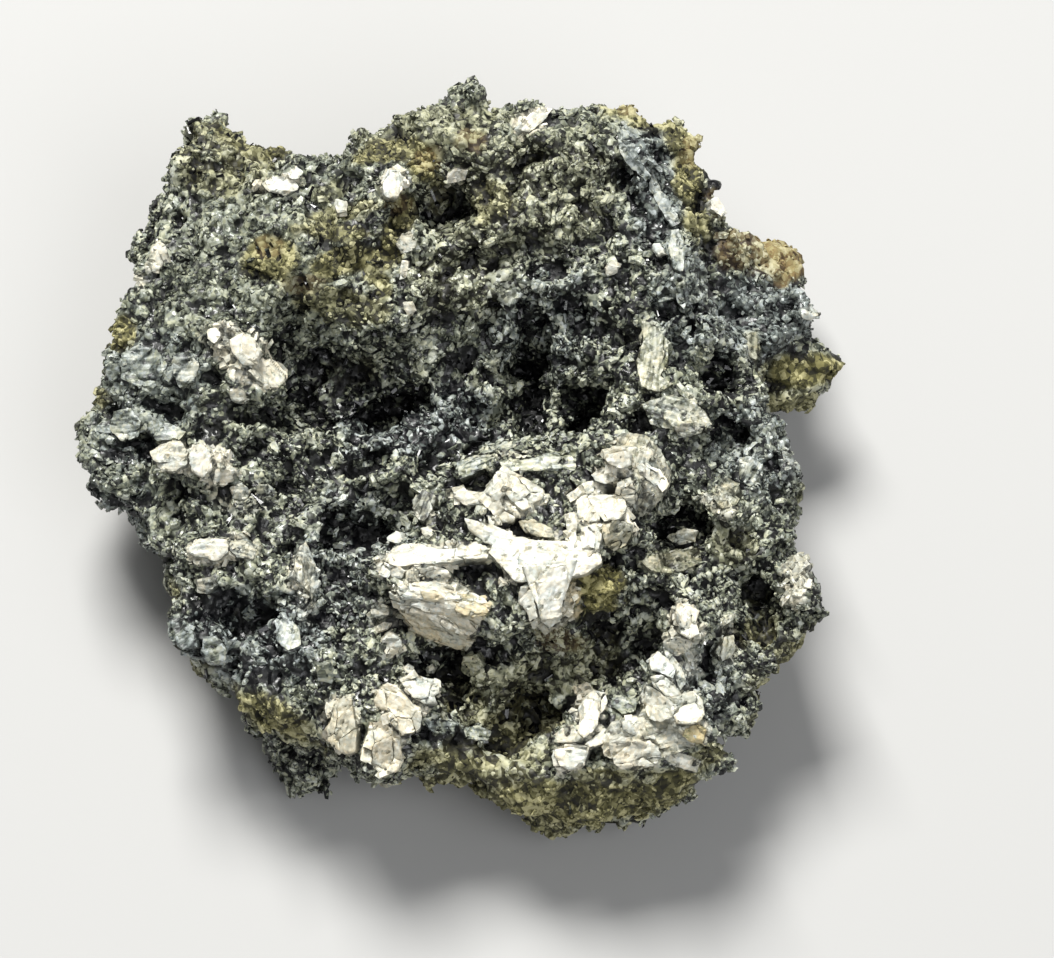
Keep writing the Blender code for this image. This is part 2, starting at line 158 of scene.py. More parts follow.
def sight_line(x, y):
    """The direction from the eye through a picture position."""
    across = (x - PICTURE_MIDDLE[0]) / PIXELS_PER_MM * MM
    up = (PICTURE_MIDDLE[1] - y) / PIXELS_PER_MM * MM
    return (AIM + VIEW_RIGHT * across + VIEW_UP * up - EYE).normalized()


print(f"lens {camera_data.lens:.0f} mm, eye {[round(c / MM, 1) for c in EYE]} mm")

# %% [markdown]
# ## A skin to work on
#
# The CAD solid carries the large forms. A copy of it is covered by an even skin of small squares
# (a voxel remesh), which gives every later step points to move and to keep its masks on.

# %% Copy the solid and give it an even skin
FIRST_SKIN = 0.13 * MM


def welded_copy(node):
    """The CAD node's shape as a mesh whose triangles share their corners."""
    form = bmesh.new()
    form.from_mesh(node.data)
    bmesh.ops.remove_doubles(form, verts=form.verts, dist=1e-7)
    mesh = bpy.data.meshes.new("welded")
    form.to_mesh(mesh)
    form.free()
    return mesh


def skinned(mesh, grid):
    """The mesh under a fresh, even skin."""
    obj = link_object("skin", mesh)
    remesh = obj.modifiers.new("even skin", "REMESH")
    remesh.mode = "VOXEL"
    remesh.voxel_size = grid
    skin = evaluated_mesh(obj)
    bpy.data.objects.remove(obj)
    return skin


def lay_on_table(points):
    """Keeps the underside flat where it rests, and nothing below the table."""
    points[:, 2] = np.maximum(points[:, 2], 0)
    return points


skin = skinned(welded_copy(frame["nodes"]["stone"]), FIRST_SKIN)
print("first skin:", len(skin.vertices), "points")

# %% [markdown]
# ## Where each mineral lies, and where shade and light are painted
#
# The minerals lie in patches, and some patches also paint light and shade: the dark patches are
# partly painted shade, the pale patches partly painted light and the cool patches partly a painted
# bluish sheen. Each patch is named by its place in the picture, its half length, half width and
# turn. It is cast from the camera onto the skin, and it only colours what lies about as deep as the
# point it hits, so that it is a patch on the stone from any side. The sides that the picture
# doesn't show get patches in the same manner as the front, by their place on the stone.

# %% Patches seen in the picture
# Each patch: x, y, half length, half width in pixels, turn in degrees, strength.
WHITE_PATCHES = {
    "left slab": (247, 357, 46, 26, -38, 0.62),
    "left slab, tail": (215, 340, 22, 14, -30, 0.4),
    "shoulder slab": (180, 458, 34, 17, -8, 0.72),
    "shoulder chip": (214, 468, 18, 24, 20, 0.72),
    "shoulder grains": (238, 500, 38, 18, -5, 0.35),
    "foot bar": (225, 549, 42, 17, 2, 0.62),
    "foot spine": (303, 573, 17, 30, 12, 0.55),
    "foot spine, low": (310, 612, 16, 14, 0, 0.45),
    "ring": (512, 494, 36, 22, -8, 0.8),
    "ring, left drop": (500, 512, 16, 16, 0, 0.7),
    "ring, left chip": (462, 495, 14, 10, 0, 0.75),
    "bright grain": (617, 458, 15, 14, 0, 1.0),
    "bright grain, low": (606, 478, 14, 10, 0, 0.8),
    "crest": (637, 480, 30, 40, 15, 0.55),
    "blade pair": (596, 505, 26, 26, 0, 0.9),
    "blade": (585, 520, 12, 34, 8, 0.8),
    "crest, low": (618, 528, 22, 24, 0, 0.7),
    "main mass": (530, 562, 58, 28, -6, 1.0),
    "main mass, foot": (552, 600, 28, 28, 10, 0.9),
    "arm": (440, 556, 60, 13, 6, 0.8),
    "arm, end": (390, 563, 16, 16, 0, 0.85),
    "fan": (440, 600, 50, 26, -18, 0.8),
    "fan, low": (440, 632, 45, 15, -22, 0.72),
    "fan grains": (385, 615, 20, 16, 0, 0.5),
    "fan chip": (392, 645, 14, 13, 0, 0.65),
    "plateau drop": (395, 183, 12, 15, 0, 1.0),
    "plateau chip": (455, 178, 11, 6, 15, 0.8),
    "plateau wedge": (530, 122, 22, 12, 30, 0.95),
    # The patches named glint are painted glints: white set where the stone catches the light.
    "horn glint": (275, 184, 26, 9, 10, 0.75),
    "left rim glint": (157, 258, 9, 19, -25, 0.8),
    "left rim glint, low": (140, 280, 7, 8, 0, 0.6),
    "shelf wedge": (342, 722, 19, 32, 12, 0.75),
    "shelf block": (384, 746, 24, 24, 0, 0.85),
    "shelf block, back": (404, 703, 26, 24, 20, 0.8),
    "shelf bar": (428, 686, 20, 12, 10, 0.75),
    "corner spine": (588, 715, 15, 34, 15, 0.7),
    "corner block": (570, 752, 16, 20, 0, 0.65),
    "corner slab": (640, 742, 36, 28, 10, 0.85),
    "corner bars": (665, 695, 30, 20, 40, 0.8),
    "corner cap": (693, 725, 18, 24, 15, 0.95),
    "corner tail": (683, 655, 16, 30, 20, 0.55),
    "lobe fin": (684, 622, 16, 28, 25, 0.55),
    "lobe fin, low": (727, 640, 12, 24, 10, 0.4),
    "ridge bar": (652, 350, 15, 34, 4, 0.42),
    "ridge slab": (672, 408, 34, 15, 8, 0.45),
    "lobe block": (725, 500, 17, 22, -10, 0.45),
    "rim crust": (797, 580, 16, 34, -5, 0.5),
    "rim block": (794, 462, 17, 20, -15, 0.35),
    "bar": (512, 462, 56, 13, 2, 0.4),
    "drop": (427, 510, 11, 20, 10, 0.6),
    "ridge yellow bar": (755, 345, 8, 14, 0, 0.5),
}
OCHRE_PATCHES = {
    "horn": (252, 142, 42, 20, -15, 0.8),
    "horn root": (215, 175, 25, 14, 0, 0.4),
    "shoulder crust": (270, 258, 34, 26, 0, 0.85),
    "vein": (345, 262, 40, 15, 12, 0.85),
    "vein, middle": (330, 232, 46, 10, -5, 0.7),
    "vein, cross": (370, 270, 12, 36, 35, 0.7),
    "vein, right": (398, 232, 15, 42, -15, 0.85),
    "vein, foot": (330, 300, 40, 12, 5, 0.6),
    "vein, corner": (345, 212, 50, 8, 12, 0.6),
    "vein, top": (425, 165, 16, 16, 0, 0.9),
    "vein, crest": (390, 150, 40, 13, 8, 0.8),
    "vein, low": (360, 310, 30, 18, 10, 0.55),
    "vein, side": (330, 190, 24, 12, 20, 0.35),
    "plateau crust": (490, 200, 24, 26, 0, 0.6),
    "plateau crust, low": (440, 195, 14, 20, 0, 0.7),
    "left rim": (123, 335, 12, 22, -10, 0.9),
    "left rim, low": (100, 398, 9, 14, 0, 0.7),
    "back rim": (640, 112, 48, 10, 0, 0.7),
    "right rim, top": (650, 118, 30, 15, -8, 0.8),
    "right rim, corner": (680, 140, 18, 17, 0, 0.8),
    "right rim": (688, 178, 15, 30, 12, 0.85),
    "right rim, low": (698, 220, 15, 28, 10, 0.75),
    "plateau wash": (520, 190, 110, 70, 10, 0.22),
    "plateau wash, low": (470, 280, 60, 40, 0, 0.2),
    "horn wash": (225, 150, 55, 50, 0, 0.5),
    "back wash": (430, 130, 90, 22, 8, 0.3),
    "spur": (805, 372, 48, 20, 8, 0.95),
    "ledge cap": (594, 592, 34, 26, 10, 1.0),
    "front flank": (590, 800, 130, 30, 4, 0.85),
    "front flank, left": (470, 775, 60, 20, -25, 0.7),
    "left flank": (275, 720, 55, 20, -35, 0.85),
    "front band": (520, 680, 90, 26, 0, 0.32),
    "front band, right": (600, 650, 30, 24, 0, 0.35),
    "lobe dust": (735, 545, 26, 22, 0, 0.3),
    "corner dust": (700, 760, 30, 14, 30, 0.6),
    "hollow rim": (350, 370, 30, 16, 10, 0.25),
}
RUST_PATCHES = {
    "tab": (782, 258, 40, 26, 0, 1.0),
    "tab root": (735, 250, 20, 20, 0, 0.6),
    "vein bead": (428, 160, 15, 13, 0, 0.6),
    "crest bead": (470, 140, 18, 12, 0, 0.45),
    "back edge bead": (640, 108, 30, 9, 0, 0.5),
    "vein end": (395, 205, 16, 12, 0, 0.5),
    "vein bead, low": (300, 285, 22, 10, 10, 0.5),
    "rim bead": (690, 150, 12, 16, 0, 0.6),
    "rim bead, low": (716, 205, 9, 16, 10, 0.6),
    "shoulder bead": (270, 245, 16, 12, 0, 0.55),
    "front bead": (560, 640, 26, 12, 0, 0.35),
}
# Dark patches lower the tone, carve the stone and favour black laths: partly the ore's own darker holes, partly painted
# shade where the stone lies in shade, as in the shade strips by the ridge, under the shoulder and on the horn, foot and
# flank.
DARK_AND_SHADE_PATCHES = {
    "hollow, left": (330, 392, 46, 42, -10, 1.0),
    "hollow, right": (385, 412, 46, 28, 5, 0.95),
    "hollow, slit": (458, 412, 24, 22, 0, 0.6),
    "middle band": (380, 462, 80, 20, 0, 0.4),
    "beside the spine": (338, 578, 20, 22, 0, 0.85),
    "beside the spine, low": (335, 615, 18, 18, 0, 0.6),
    "above the arm": (430, 526, 50, 10, 0, 0.5),
    "ridge shade, foot": (622, 332, 16, 24, 0, 0.5),
    "gash, top": (529, 322, 14, 24, 0, 0.9),
    "gash": (532, 362, 16, 30, 0, 1.0),
    "gash, low": (534, 408, 17, 32, 4, 1.0),
    "gash, right": (588, 412, 34, 26, 8, 1.0),
    "gash, back": (590, 300, 34, 22, 0, 0.6),
    "slot": (458, 480, 18, 10, 0, 0.8),
    "trench": (365, 530, 34, 14, -5, 0.85),
    "plateau pocket": (442, 205, 28, 20, 0, 0.8),
    "fan hole": (478, 573, 22, 14, 0, 0.95),
    "cap hole": (605, 630, 26, 20, 0, 0.85),
    "band": (460, 660, 62, 18, 4, 0.75),
    "pocket": (528, 710, 30, 20, 0, 0.8),
    "small hole": (442, 692, 13, 9, 0, 1.0),
    "ring hole": (494, 512, 7, 6, 0, 1.0),
    "notch": (722, 372, 22, 16, 0, 0.95),
    "lobe hole": (742, 432, 18, 11, 0, 0.8),
    "lobe trench": (678, 528, 38, 16, 8, 0.85),
    "rim slot": (760, 610, 14, 32, 10, 0.8),
    "ridge slot": (652, 134, 14, 8, -10, 0.9),
    "horn hole": (208, 155, 9, 9, 0, 0.9),
    "horn hole, top": (203, 112, 8, 7, 0, 0.6),
    "left holes": (255, 610, 28, 14, 15, 0.6),
    "left slit": (255, 490, 44, 8, 5, 0.45),
    "foot hole": (232, 610, 15, 18, 0, 0.6),
    "under the bar": (480, 480, 26, 8, 0, 0.5),
    "horn shade": (215, 140, 50, 50, 0, 0.35),
    "flank dark": (462, 742, 62, 12, -12, 0.9),
    "flank streak": (520, 768, 32, 5, -35, 0.7),
    "flank streak, right": (600, 780, 50, 6, -6, 0.7),
    "flank streak, low": (575, 800, 26, 5, -25, 0.6),
    "foot shade": (240, 650, 70, 42, -30, 0.35),
    "left low": (125, 475, 26, 46, 0, 0.4),
    "hollow floor": (425, 432, 80, 26, 5, 0.4),
    "ridge shade": (628, 190, 38, 9, -62, 0.8),
    "ridge shade, low": (655, 250, 34, 9, -78, 0.8),
    "ridge slot, low": (660, 165, 24, 5, -68, 0.8),
    "wing hole": (714, 250, 16, 11, -20, 0.8),
    "wing hole, low": (700, 316, 10, 13, 0, 0.7),
    "left seam": (280, 416, 52, 10, -3, 0.8),
    "left seam, middle": (208, 430, 20, 14, -20, 0.7),
    "left seam, far": (158, 408, 24, 8, -20, 0.7),
    "left pocket": (212, 376, 15, 10, 0, 0.7),
    "under the shoulder": (186, 495, 36, 8, -14, 0.7),
    "hollow, low": (343, 424, 28, 15, 0, 0.8),
    "gash, foot": (530, 426, 20, 13, 0, 0.9),
    "under the hollow": (450, 448, 30, 8, 0, 0.6),
    "left band": (256, 457, 24, 12, 0, 0.5),
    "left cleft": (298, 540, 22, 18, 0, 0.6),
    "flank dark, low": (500, 778, 34, 11, 15, 0.5),
}
# Pale patches pull the tone towards a light one: partly paler fine-grained ore, partly painted light on the faces that
# catch the lamp, such as the top left and the back edge.
PALE_AND_LIT_PATCHES = {
    "wing": (765, 310, 55, 45, 10, 0.7),
    "ridge, top": (650, 190, 40, 80, 10, 0.6),
    "left heel": (150, 530, 45, 70, 0, 0.5),
    "back edge": (620, 125, 90, 20, 5, 0.7),
    "top left": (215, 300, 150, 150, 10, 0.75),
    "left rim": (130, 420, 70, 90, 0, 0.6),
    "back": (420, 135, 130, 40, 8, 0.6),
    "shoulder": (210, 500, 110, 60, 0, 0.3),
    "ridge": (680, 330, 40, 110, 5, 0.4),
    "lobe": (720, 480, 60, 60, 0, 0.3),
    "foot lobe": (230, 630, 70, 70, 0, 0.25),
    "foot blocks": (300, 680, 50, 40, 0, 0.4),
    "rim": (800, 500, 30, 90, 0, 0.35),
    "front shelf": (620, 730, 130, 60, 0, 0.3),
    "plateau, left": (338, 180, 30, 26, 0, 0.8),
    "hollow, top": (335, 326, 24, 18, 0, 0.6),
    "hollow, top right": (455, 335, 26, 22, 0, 0.6),
    "left, middle": (178, 378, 24, 18, 0, 0.6),
}
# Cool patches tint the ore bluish: partly its own cooler tone, partly a painted bluish sheen on its mica-like faces.
COOL_AND_SHEEN_PATCHES = {
    "ridge": (650, 180, 30, 75, 12, 0.8),
    "ridge, low": (690, 300, 40, 60, 0, 0.6),
    "wing": (760, 315, 60, 45, 10, 0.9),
    "hollow floor": (420, 420, 90, 40, 5, 0.8),
    "hollow wall": (540, 320, 60, 60, 0, 0.5),
    "left rim": (130, 520, 50, 120, 0, 0.7),
    "foot lobe": (240, 640, 90, 50, 0, 0.8),
    "middle": (350, 560, 60, 70, 0, 0.5),
    "lobe": (760, 450, 60, 50, 0, 0.6),
    "corner": (690, 690, 50, 50, 0, 0.5),
    "shelf": (470, 735, 60, 22, 0, 0.5),
    "left": (150, 380, 60, 60, 0, 0.5),
}
print("patches:", sum(map(len, (WHITE_PATCHES, OCHRE_PATCHES, RUST_PATCHES, DARK_AND_SHADE_PATCHES, PALE_AND_LIT_PATCHES, COOL_AND_SHEEN_PATCHES))))

# %% Patches on the sides that the picture doesn't show
# Each patch: x, y, z and radius in millimetres, strength.
RUN_ZONES = {
    "hollow wall": (540, 330, 90, 60, 85, 0),
    "ridge": (660, 240, 80, 40, 78, 0),
    "middle": (500, 455, 110, 40, 5, 0),
    "middle, left": (350, 470, 80, 60, -8, 0),
    "left": (200, 520, 80, 60, -25, 0),
    "foot": (250, 640, 80, 60, -45, 0),
    "lobe": (740, 470, 70, 60, 60, 0),
    "right lobe": (730, 610, 80, 50, 75, 0),
    "band": (520, 665, 110, 40, 5, 0),
    "plateau": (480, 200, 110, 70, 20, 0),
    "top left": (260, 250, 110, 90, 35, 0),
    "wing": (760, 310, 70, 50, -30, 0),
}
FAR_WHITE = {
    "back seam": (-3.0, 8.6, 4.2, 1.5, 0.6),
    "back seam, low": (-1.2, 8.4, 2.6, 1.1, 0.5),
    "back eye": (5.6, 8.2, 4.6, 1.0, 0.75),
    "left flank": (-8.8, 0.4, 2.2, 1.2, 0.5),
    "left heel": (-9.2, 3.6, 2.2, 0.9, 0.5),
    "right flank": (8.5, -2.2, 2.0, 1.2, 0.5),
    "front heel": (-2.0, -8.4, 1.2, 0.8, 0.4),
    "back heel": (7.9, 5.2, 3.9, 0.8, 0.4),
}
FAR_OCHRE = {
    "back wall": (1.6, 9.0, 4.6, 2.4, 0.7),
    "back wall, low": (-5.2, 7.4, 2.4, 2.0, 0.7),
    "left wall": (-9.6, 2.4, 3.0, 1.7, 0.6),
    "left low": (-7.4, -4.6, 1.8, 2.2, 0.7),
    "right wall": (8.6, 1.4, 2.2, 1.9, 0.7),
    "right low": (8.2, -5.2, 2.4, 2.0, 0.7),
    "front low": (1.0, -8.4, 1.4, 3.2, 0.7),
    "under": (0.0, 0.0, -5.0, 6.0, 0.5),
}
FAR_RUST = {
    "back wall": (3.2, 8.8, 3.4, 1.2, 0.6),
    "left wall": (-9.0, 4.6, 3.0, 0.9, 0.5),
    "right wall": (8.0, -3.4, 1.8, 1.0, 0.5),
}
FAR_PALE = {
    "back wall": (-5.0, 8.0, 5.0, 3.0, 0.5),
    "back wall, right": (6.0, 8.0, 3.0, 2.6, 0.5),
    "left wall": (-9.2, 0.0, 3.5, 3.2, 0.4),
    "right wall": (8.6, -1.0, 3.0, 3.0, 0.4),
}
print("far patches:", sum(map(len, (FAR_WHITE, FAR_OCHRE, FAR_RUST, FAR_PALE))))

# %% [markdown]
# ## Blocks of pale mineral
#
# In front, the pale mineral has grown into solid blocks with cracks between them, and those are
# what the eye goes to first. Ellipses are too vague for them, so each block is drawn by the
# corners of its outline in the picture. Every row also says how far the block stands out in
# millimetres, how white it is, how stained, and which way its grain runs in degrees. Grey-green
# bars and smooth grey plates are blocks too, only with little white in them.

# %% Outlines of the white blocks
# Each block: corners "x,y x,y ...", rise in millimetres, whiteness, stain, grain in degrees.
WHITE_BLOCKS = {
    "fan, bed": ("388,592 400,584 430,581 460,585 486,599 490,611 470,617 440,615 414,613 394,608", 0.0, 1.0, 0.1, -18),
    "fan, low bed": ("398,608 414,611 440,613 470,615 484,614 478,630 466,641 440,636 414,624", 0.0, 1.0, 0.2, -28),
    "crest, bed": ("606,444 630,432 646,436 661,450 671,472 668,492 656,504 644,510 634,502 634,470 620,446", 0.0, 0.48, 0.1, 70),
    "corner, bed": (
        "600,740 612,722 640,714 650,694 668,692 696,704 702,726 694,746 660,758 620,762 604,756", 0.0, 0.62, 0.15, 10
    ),
    "fan, stained bar": ("456,594 472,594 492,604 486,615 470,618 456,610", 0.16, 0.8, 0.6, -12),
    "fan, stained ribbon": ("402,616 420,622 448,638 470,644 462,650 440,644 416,634", 0.16, 0.9, 0.45, -28),
    "fan, cream streak": ("420,590 436,590 444,598 434,602 422,598", 0.18, 0.85, 0.5, -10),
    "mass, spike": ("464,518 486,523 512,533 516,546 500,549 484,541 470,530", 0.18, 1.0, 0.0, -25),
    "mass, middle": (
        "500,535 540,541 578,541 600,553 601,563 586,573 560,578 536,583 514,580 502,566 490,552", 0.26, 1.0, 0.0, -10
    ),
    "mass, foot": (
        "524,567 548,566 577,560 572,576 566,592 561,606 562,620 550,627 542,621 537,603 530,588",
        0.32, 0.95, 0.0, 80
    ),
    "mass, strip": ("521,588 532,587 535,602 539,626 532,629 527,612 518,603", 0.15, 0.9, 0.0, 75),
    "arm": (
        "384,560 392,548 404,543 420,545 440,550 460,548 476,542 490,549 486,558 470,558 452,561 430,563 410,564 398,566",
        0.16, 0.85, 0.0, 5,
    ),
    "arm, end": ("378,575 384,562 396,567 388,578", 0.2, 1.0, 0.0, 0),
    "arm, bead": ("387,540 388,536 396,530 404,534 404,541 395,543", 0.2, 0.95, 0.0, 0),
    "arm, low bead": ("391,571 399,566 405,571 400,579 392,577", 0.15, 0.9, 0.0, 0),
    "arm, splinter": ("418,569 432,566 448,570 452,577 436,579 420,576", 0.1, 0.75, 0.0, 5),
    "fan, top": ("396,590 412,584 424,589 436,584 456,582 470,590 462,599 440,600 420,599 402,599", 0.12, 0.85, 0.0, -15),
    "fan, middle": ("396,603 422,602 446,603 458,605 452,613 444,612 430,611 410,609", 0.16, 0.9, 0.0, -15),
    "fan, right": ("460,601 474,597 492,604 488,612 468,615 456,614", 0.14, 0.78, 0.2, -10),
    "fan, ribbon": ("424,613 444,616 460,628 470,638 456,634 436,626", 0.2, 1.0, 0.0, -35),
    "fan, blade": ("400,612 416,617 434,628 454,637 474,641 470,647 448,643 430,636 412,626", 0.2, 0.8, 0.25, -30),
    "fan, bead": ("382,640 390,633 399,637 402,646 396,655 386,654", 0.22, 0.9, 0.1, 0),
    "fan, grey bead": ("371,606 379,602 387,607 388,616 380,620 372,617", 0.15, 0.55, 0.0, 0),
    "ring, left": ("478,498 486,488 495,476 503,482 505,492 499,500 504,509 516,517 513,522 502,523 491,511", 0.22, 0.85, 0.12, 60),
    "ring, right": ("497,474 503,467 514,472 530,480 546,491 542,500 530,506 522,509 514,501 507,494 505,482", 0.28, 0.9, 0.1, -25),
    "ring, chip": ("453,488 462,486 468,494 478,499 482,503 468,504 456,497", 0.15, 0.95, 0.0, 0),
    "ring, crumb": ("420,528 428,525 435,531 431,538 422,535", 0.15, 0.85, 0.0, 0),
    "ring, root": ("520,522 534,520 550,528 554,537 538,535 524,530", 0.08, 0.5, 0.25, -20),
    "drop": ("412,500 424,490 436,497 432,508 424,520 418,518 413,508", 0.15, 0.55, 0.0, 70),
    "bright grain": ("606,450 612,445 624,446 631,455 630,464 620,468 610,464 605,457", 0.3, 1.0, 0.0, 0),
    "bright link": ("592,475 602,468 612,472 616,480 606,483 596,480", 0.15, 1.0, 0.0, 0),
    "crest, rim": ("632,463 646,462 660,470 669,484 662,492 652,482 640,474", 0.2, 0.85, 0.05, -40),
    "crest, middle": ("640,480 650,486 656,500 650,514 640,518 634,506 640,496", 0.15, 0.55, 0.05, 70),
    "crest, left": ("618,484 630,478 636,490 637,500 627,500 616,493", 0.2, 0.95, 0.0, 20),
    "bright slab": ("588,497 600,495 615,495 625,499 627,509 618,518 604,520 597,512", 0.25, 1.0, 0.05, 0),
    "blade, grey": ("580,500 588,499 595,509 599,519 589,521 580,517 577,508", 0.15, 0.7, 0.0, 80),
    "blade, left": ("566,516 574,512 577,520 575,532 578,546 573,549 568,534", 0.25, 0.95, 0.0, 80),
    "blade, right": ("581,528 596,524 600,535 598,549 588,556 582,546", 0.2, 0.9, 0.0, 80),
    "blade, top": ("566,495 580,485 592,482 592,490 580,497 570,503", 0.15, 0.7, 0.1, 25),
    "crest, foot": ("604,524 616,520 628,523 632,533 626,545 614,552 606,546 602,534", 0.12, 0.5, 0.3, 30),
    "lobe shelf": ("642,562 660,553 680,549 698,549 700,560 690,567 672,573 656,572", 0.1, 0.4, 0.3, 5),
    "lobe shelf, top": ("668,537 684,529 698,531 696,541 680,544", 0.1, 0.5, 0.1, 10),
    "fin": ("678,605 690,604 698,612 695,621 698,633 690,637 681,633 676,620", 0.2, 0.9, 0.0, 80),
    "fin, bead": ("664,643 674,638 686,640 692,644 687,651 677,657 668,651", 0.2, 0.9, 0.0, 0),
    "upper ridge": ("676,427 690,424 700,428 694,435 680,437", 0.12, 0.75, 0.0, 0),
    "corner, spine": (
        "588,695 596,690 606,692 609,702 604,712 598,716 597,725 592,732 584,737 578,732 580,718 578,708 584,700",
        0.22, 0.9, 0.0, 75,
    ),
    "corner, foot": ("554,748 566,744 580,745 590,748 586,758 582,768 572,770 560,774 554,768 552,757", 0.2, 0.95, 0.05, 5),
    "corner, left": ("552,736 562,728 574,729 580,738 576,741 562,742 552,742", 0.12, 0.6, 0.0, 10),
    "corner, link": ("593,737 604,728 612,732 607,740 600,745 590,747 585,744", 0.18, 1.0, 0.0, 30),
    "corner, slab": (
        "609,741 622,736 640,739 656,744 661,753 656,766 646,768 636,766 622,770 614,764 610,752", 0.22, 0.85, 0.12, 5
    ),
    "corner, slab top": ("622,722 636,716 650,720 660,730 656,740 640,735 624,733", 0.25, 0.95, 0.05, -20),
    "corner, bar": ("646,684 652,688 668,700 678,705 672,716 660,722 650,718 644,706 646,694", 0.22, 0.95, 0.12, -40),
    "corner, bar back": ("650,676 662,674 674,684 682,694 678,699 668,697 654,687", 0.2, 0.95, 0.12, -40),
    "corner, cap": ("682,694 694,691 702,700 704,714 700,722 688,724 677,722 674,716 680,706", 0.3, 1.0, 0.25, 20),
    "corner, stain": ("686,728 698,725 706,730 702,744 690,742 683,736", 0.12, 0.6, 0.8, 0),
    "corner, tail": ("650,660 658,652 668,660 676,669 673,679 662,672 652,669", 0.2, 0.95, 0.0, -45),
    "corner, blue blade": ("664,648 672,655 682,668 686,682 680,690 675,676 667,660", 0.2, 0.45, 0.0, -60),
    "corner, skirt": ("662,748 672,750 690,756 700,762 696,772 676,766 664,758", 0.1, 0.6, 0.0, -20),
    "corner, wall": ("716,652 722,636 734,634 738,648 732,658 722,662", 0.1, 0.4, 0.2, 80),
    "shelf, wedge": (
        "344,696 351,700 354,715 357,732 355,752 346,754 334,748 325,741 322,732 330,722 334,708 340,700",
        0.2, 0.9, 0.28, 75,
    ),
    "shelf, block": (
        "370,722 382,722 391,728 394,737 400,740 402,752 403,762 396,772 386,770 372,764 360,760 362,748 366,736",
        0.22, 0.95, 0.25, 80,
    ),
    "shelf, back": (
        "374,700 380,688 388,683 396,686 404,693 412,703 420,707 422,716 420,728 412,734 402,736 397,731 396,716 388,710 376,707",
        0.2, 0.9, 0.2, -30,
    ),
    "shelf, bar": ("399,679 410,675 424,676 440,680 441,690 434,696 437,703 424,704 412,697 404,687", 0.22, 0.95, 0.0, 5),
    "shelf, chip": ("402,667 408,664 414,667 414,672 404,673", 0.15, 0.8, 0.0, 0),
    "left slab, top": ("230,340 243,333 254,339 262,354 257,365 244,365 232,352", 0.2, 0.8, 0.0, -40),
    "left slab, low": ("262,358 276,360 287,369 287,379 277,388 264,384 250,372 252,369", 0.2, 0.75, 0.1, -35),
    "left slab, chip": ("208,330 216,328 220,336 214,342 208,338", 0.12, 0.8, 0.0, 0),
    "left slab, crumb": ("228,390 240,388 250,398 244,404 232,400", 0.12, 0.6, 0.0, 0),
    "shoulder slab": ("150,452 164,444 180,441 187,452 186,464 172,470 158,468", 0.16, 0.8, 0.08, -10),
    "shoulder slab, right": ("193,446 203,444 210,456 212,468 202,476 192,470 190,458", 0.2, 0.85, 0.0, 80),
    "shoulder chip": ("216,470 230,466 238,472 234,480 222,486 214,480", 0.14, 0.75, 0.0, 0),
    "shoulder grain": ("230,488 242,484 250,492 246,500 234,498", 0.14, 0.65, 0.0, 0),
    "shoulder grain, right": ("256,486 268,484 276,492 270,500 258,498", 0.14, 0.5, 0.0, 0),
    "foot bar": ("188,548 198,540 212,538 226,540 228,552 216,560 202,556 192,556", 0.2, 0.8, 0.0, 0),
    "foot bar, right": ("231,541 246,540 258,548 252,558 238,556 231,550", 0.14, 0.55, 0.0, -10),
    "foot bead": ("196,580 208,578 214,586 208,594 198,592", 0.15, 0.65, 0.0, 0),
    "foot spine": ("300,548 306,542 312,556 316,570 320,584 312,594 302,584 292,576 296,564", 0.14, 0.6, 0.0, 75),
    "plateau drop": ("381,182 388,170 397,169 403,178 403,190 396,198 386,195", 0.25, 1.0, 0.0, 80),
    "plateau chip": ("446,176 456,171 466,172 464,179 452,181", 0.14, 0.9, 0.0, 15),
    "plateau wedge": ("514,130 526,118 540,108 552,109 544,120 530,131", 0.18, 0.95, 0.0, 35),
    "plateau grain": ("336,200 346,202 346,211 338,212", 0.12, 0.75, 0.0, 0),
    "plateau grain, right": ("400,236 410,232 416,240 412,250 402,252 397,244", 0.14, 0.65, 0.1, 0),
    "plateau grain, low": ("402,262 408,262 406,276 400,278", 0.14, 0.85, 0.0, 80),
    # The blocks named glint are painted glints: small white blocks where the stone catches the light.
    "plateau glint": ("404,304 412,303 415,310 408,314", 0.14, 0.95, 0.0, 0),
    "horn glint": ("262,184 274,178 290,178 298,188 286,194 270,192", 0.14, 0.85, 0.0, 0),
    "horn glint, right": ("288,172 296,167 302,172 298,178 290,177", 0.14, 0.95, 0.0, 0),
    "rim glint": ("150,262 158,250 166,246 166,256 160,270 152,272", 0.15, 0.85, 0.0, 60),
    "rim bead": ("711,198 718,199 726,212 721,215 713,208", 0.14, 0.95, 0.0, -60),
    "hollow glint": ("606,268 612,262 620,264 616,272 608,276", 0.15, 0.9, 0.0, 0),
    "hollow chip": ("652,244 660,244 665,254 656,256", 0.12, 0.75, 0.0, 0),
    "wing bead": ("802,309 812,307 817,315 811,320 803,317", 0.12, 0.8, 0.0, 0),
    "lobe bead": ("698,496 706,494 711,499 706,504 699,502", 0.14, 0.85, 0.0, 0),
}
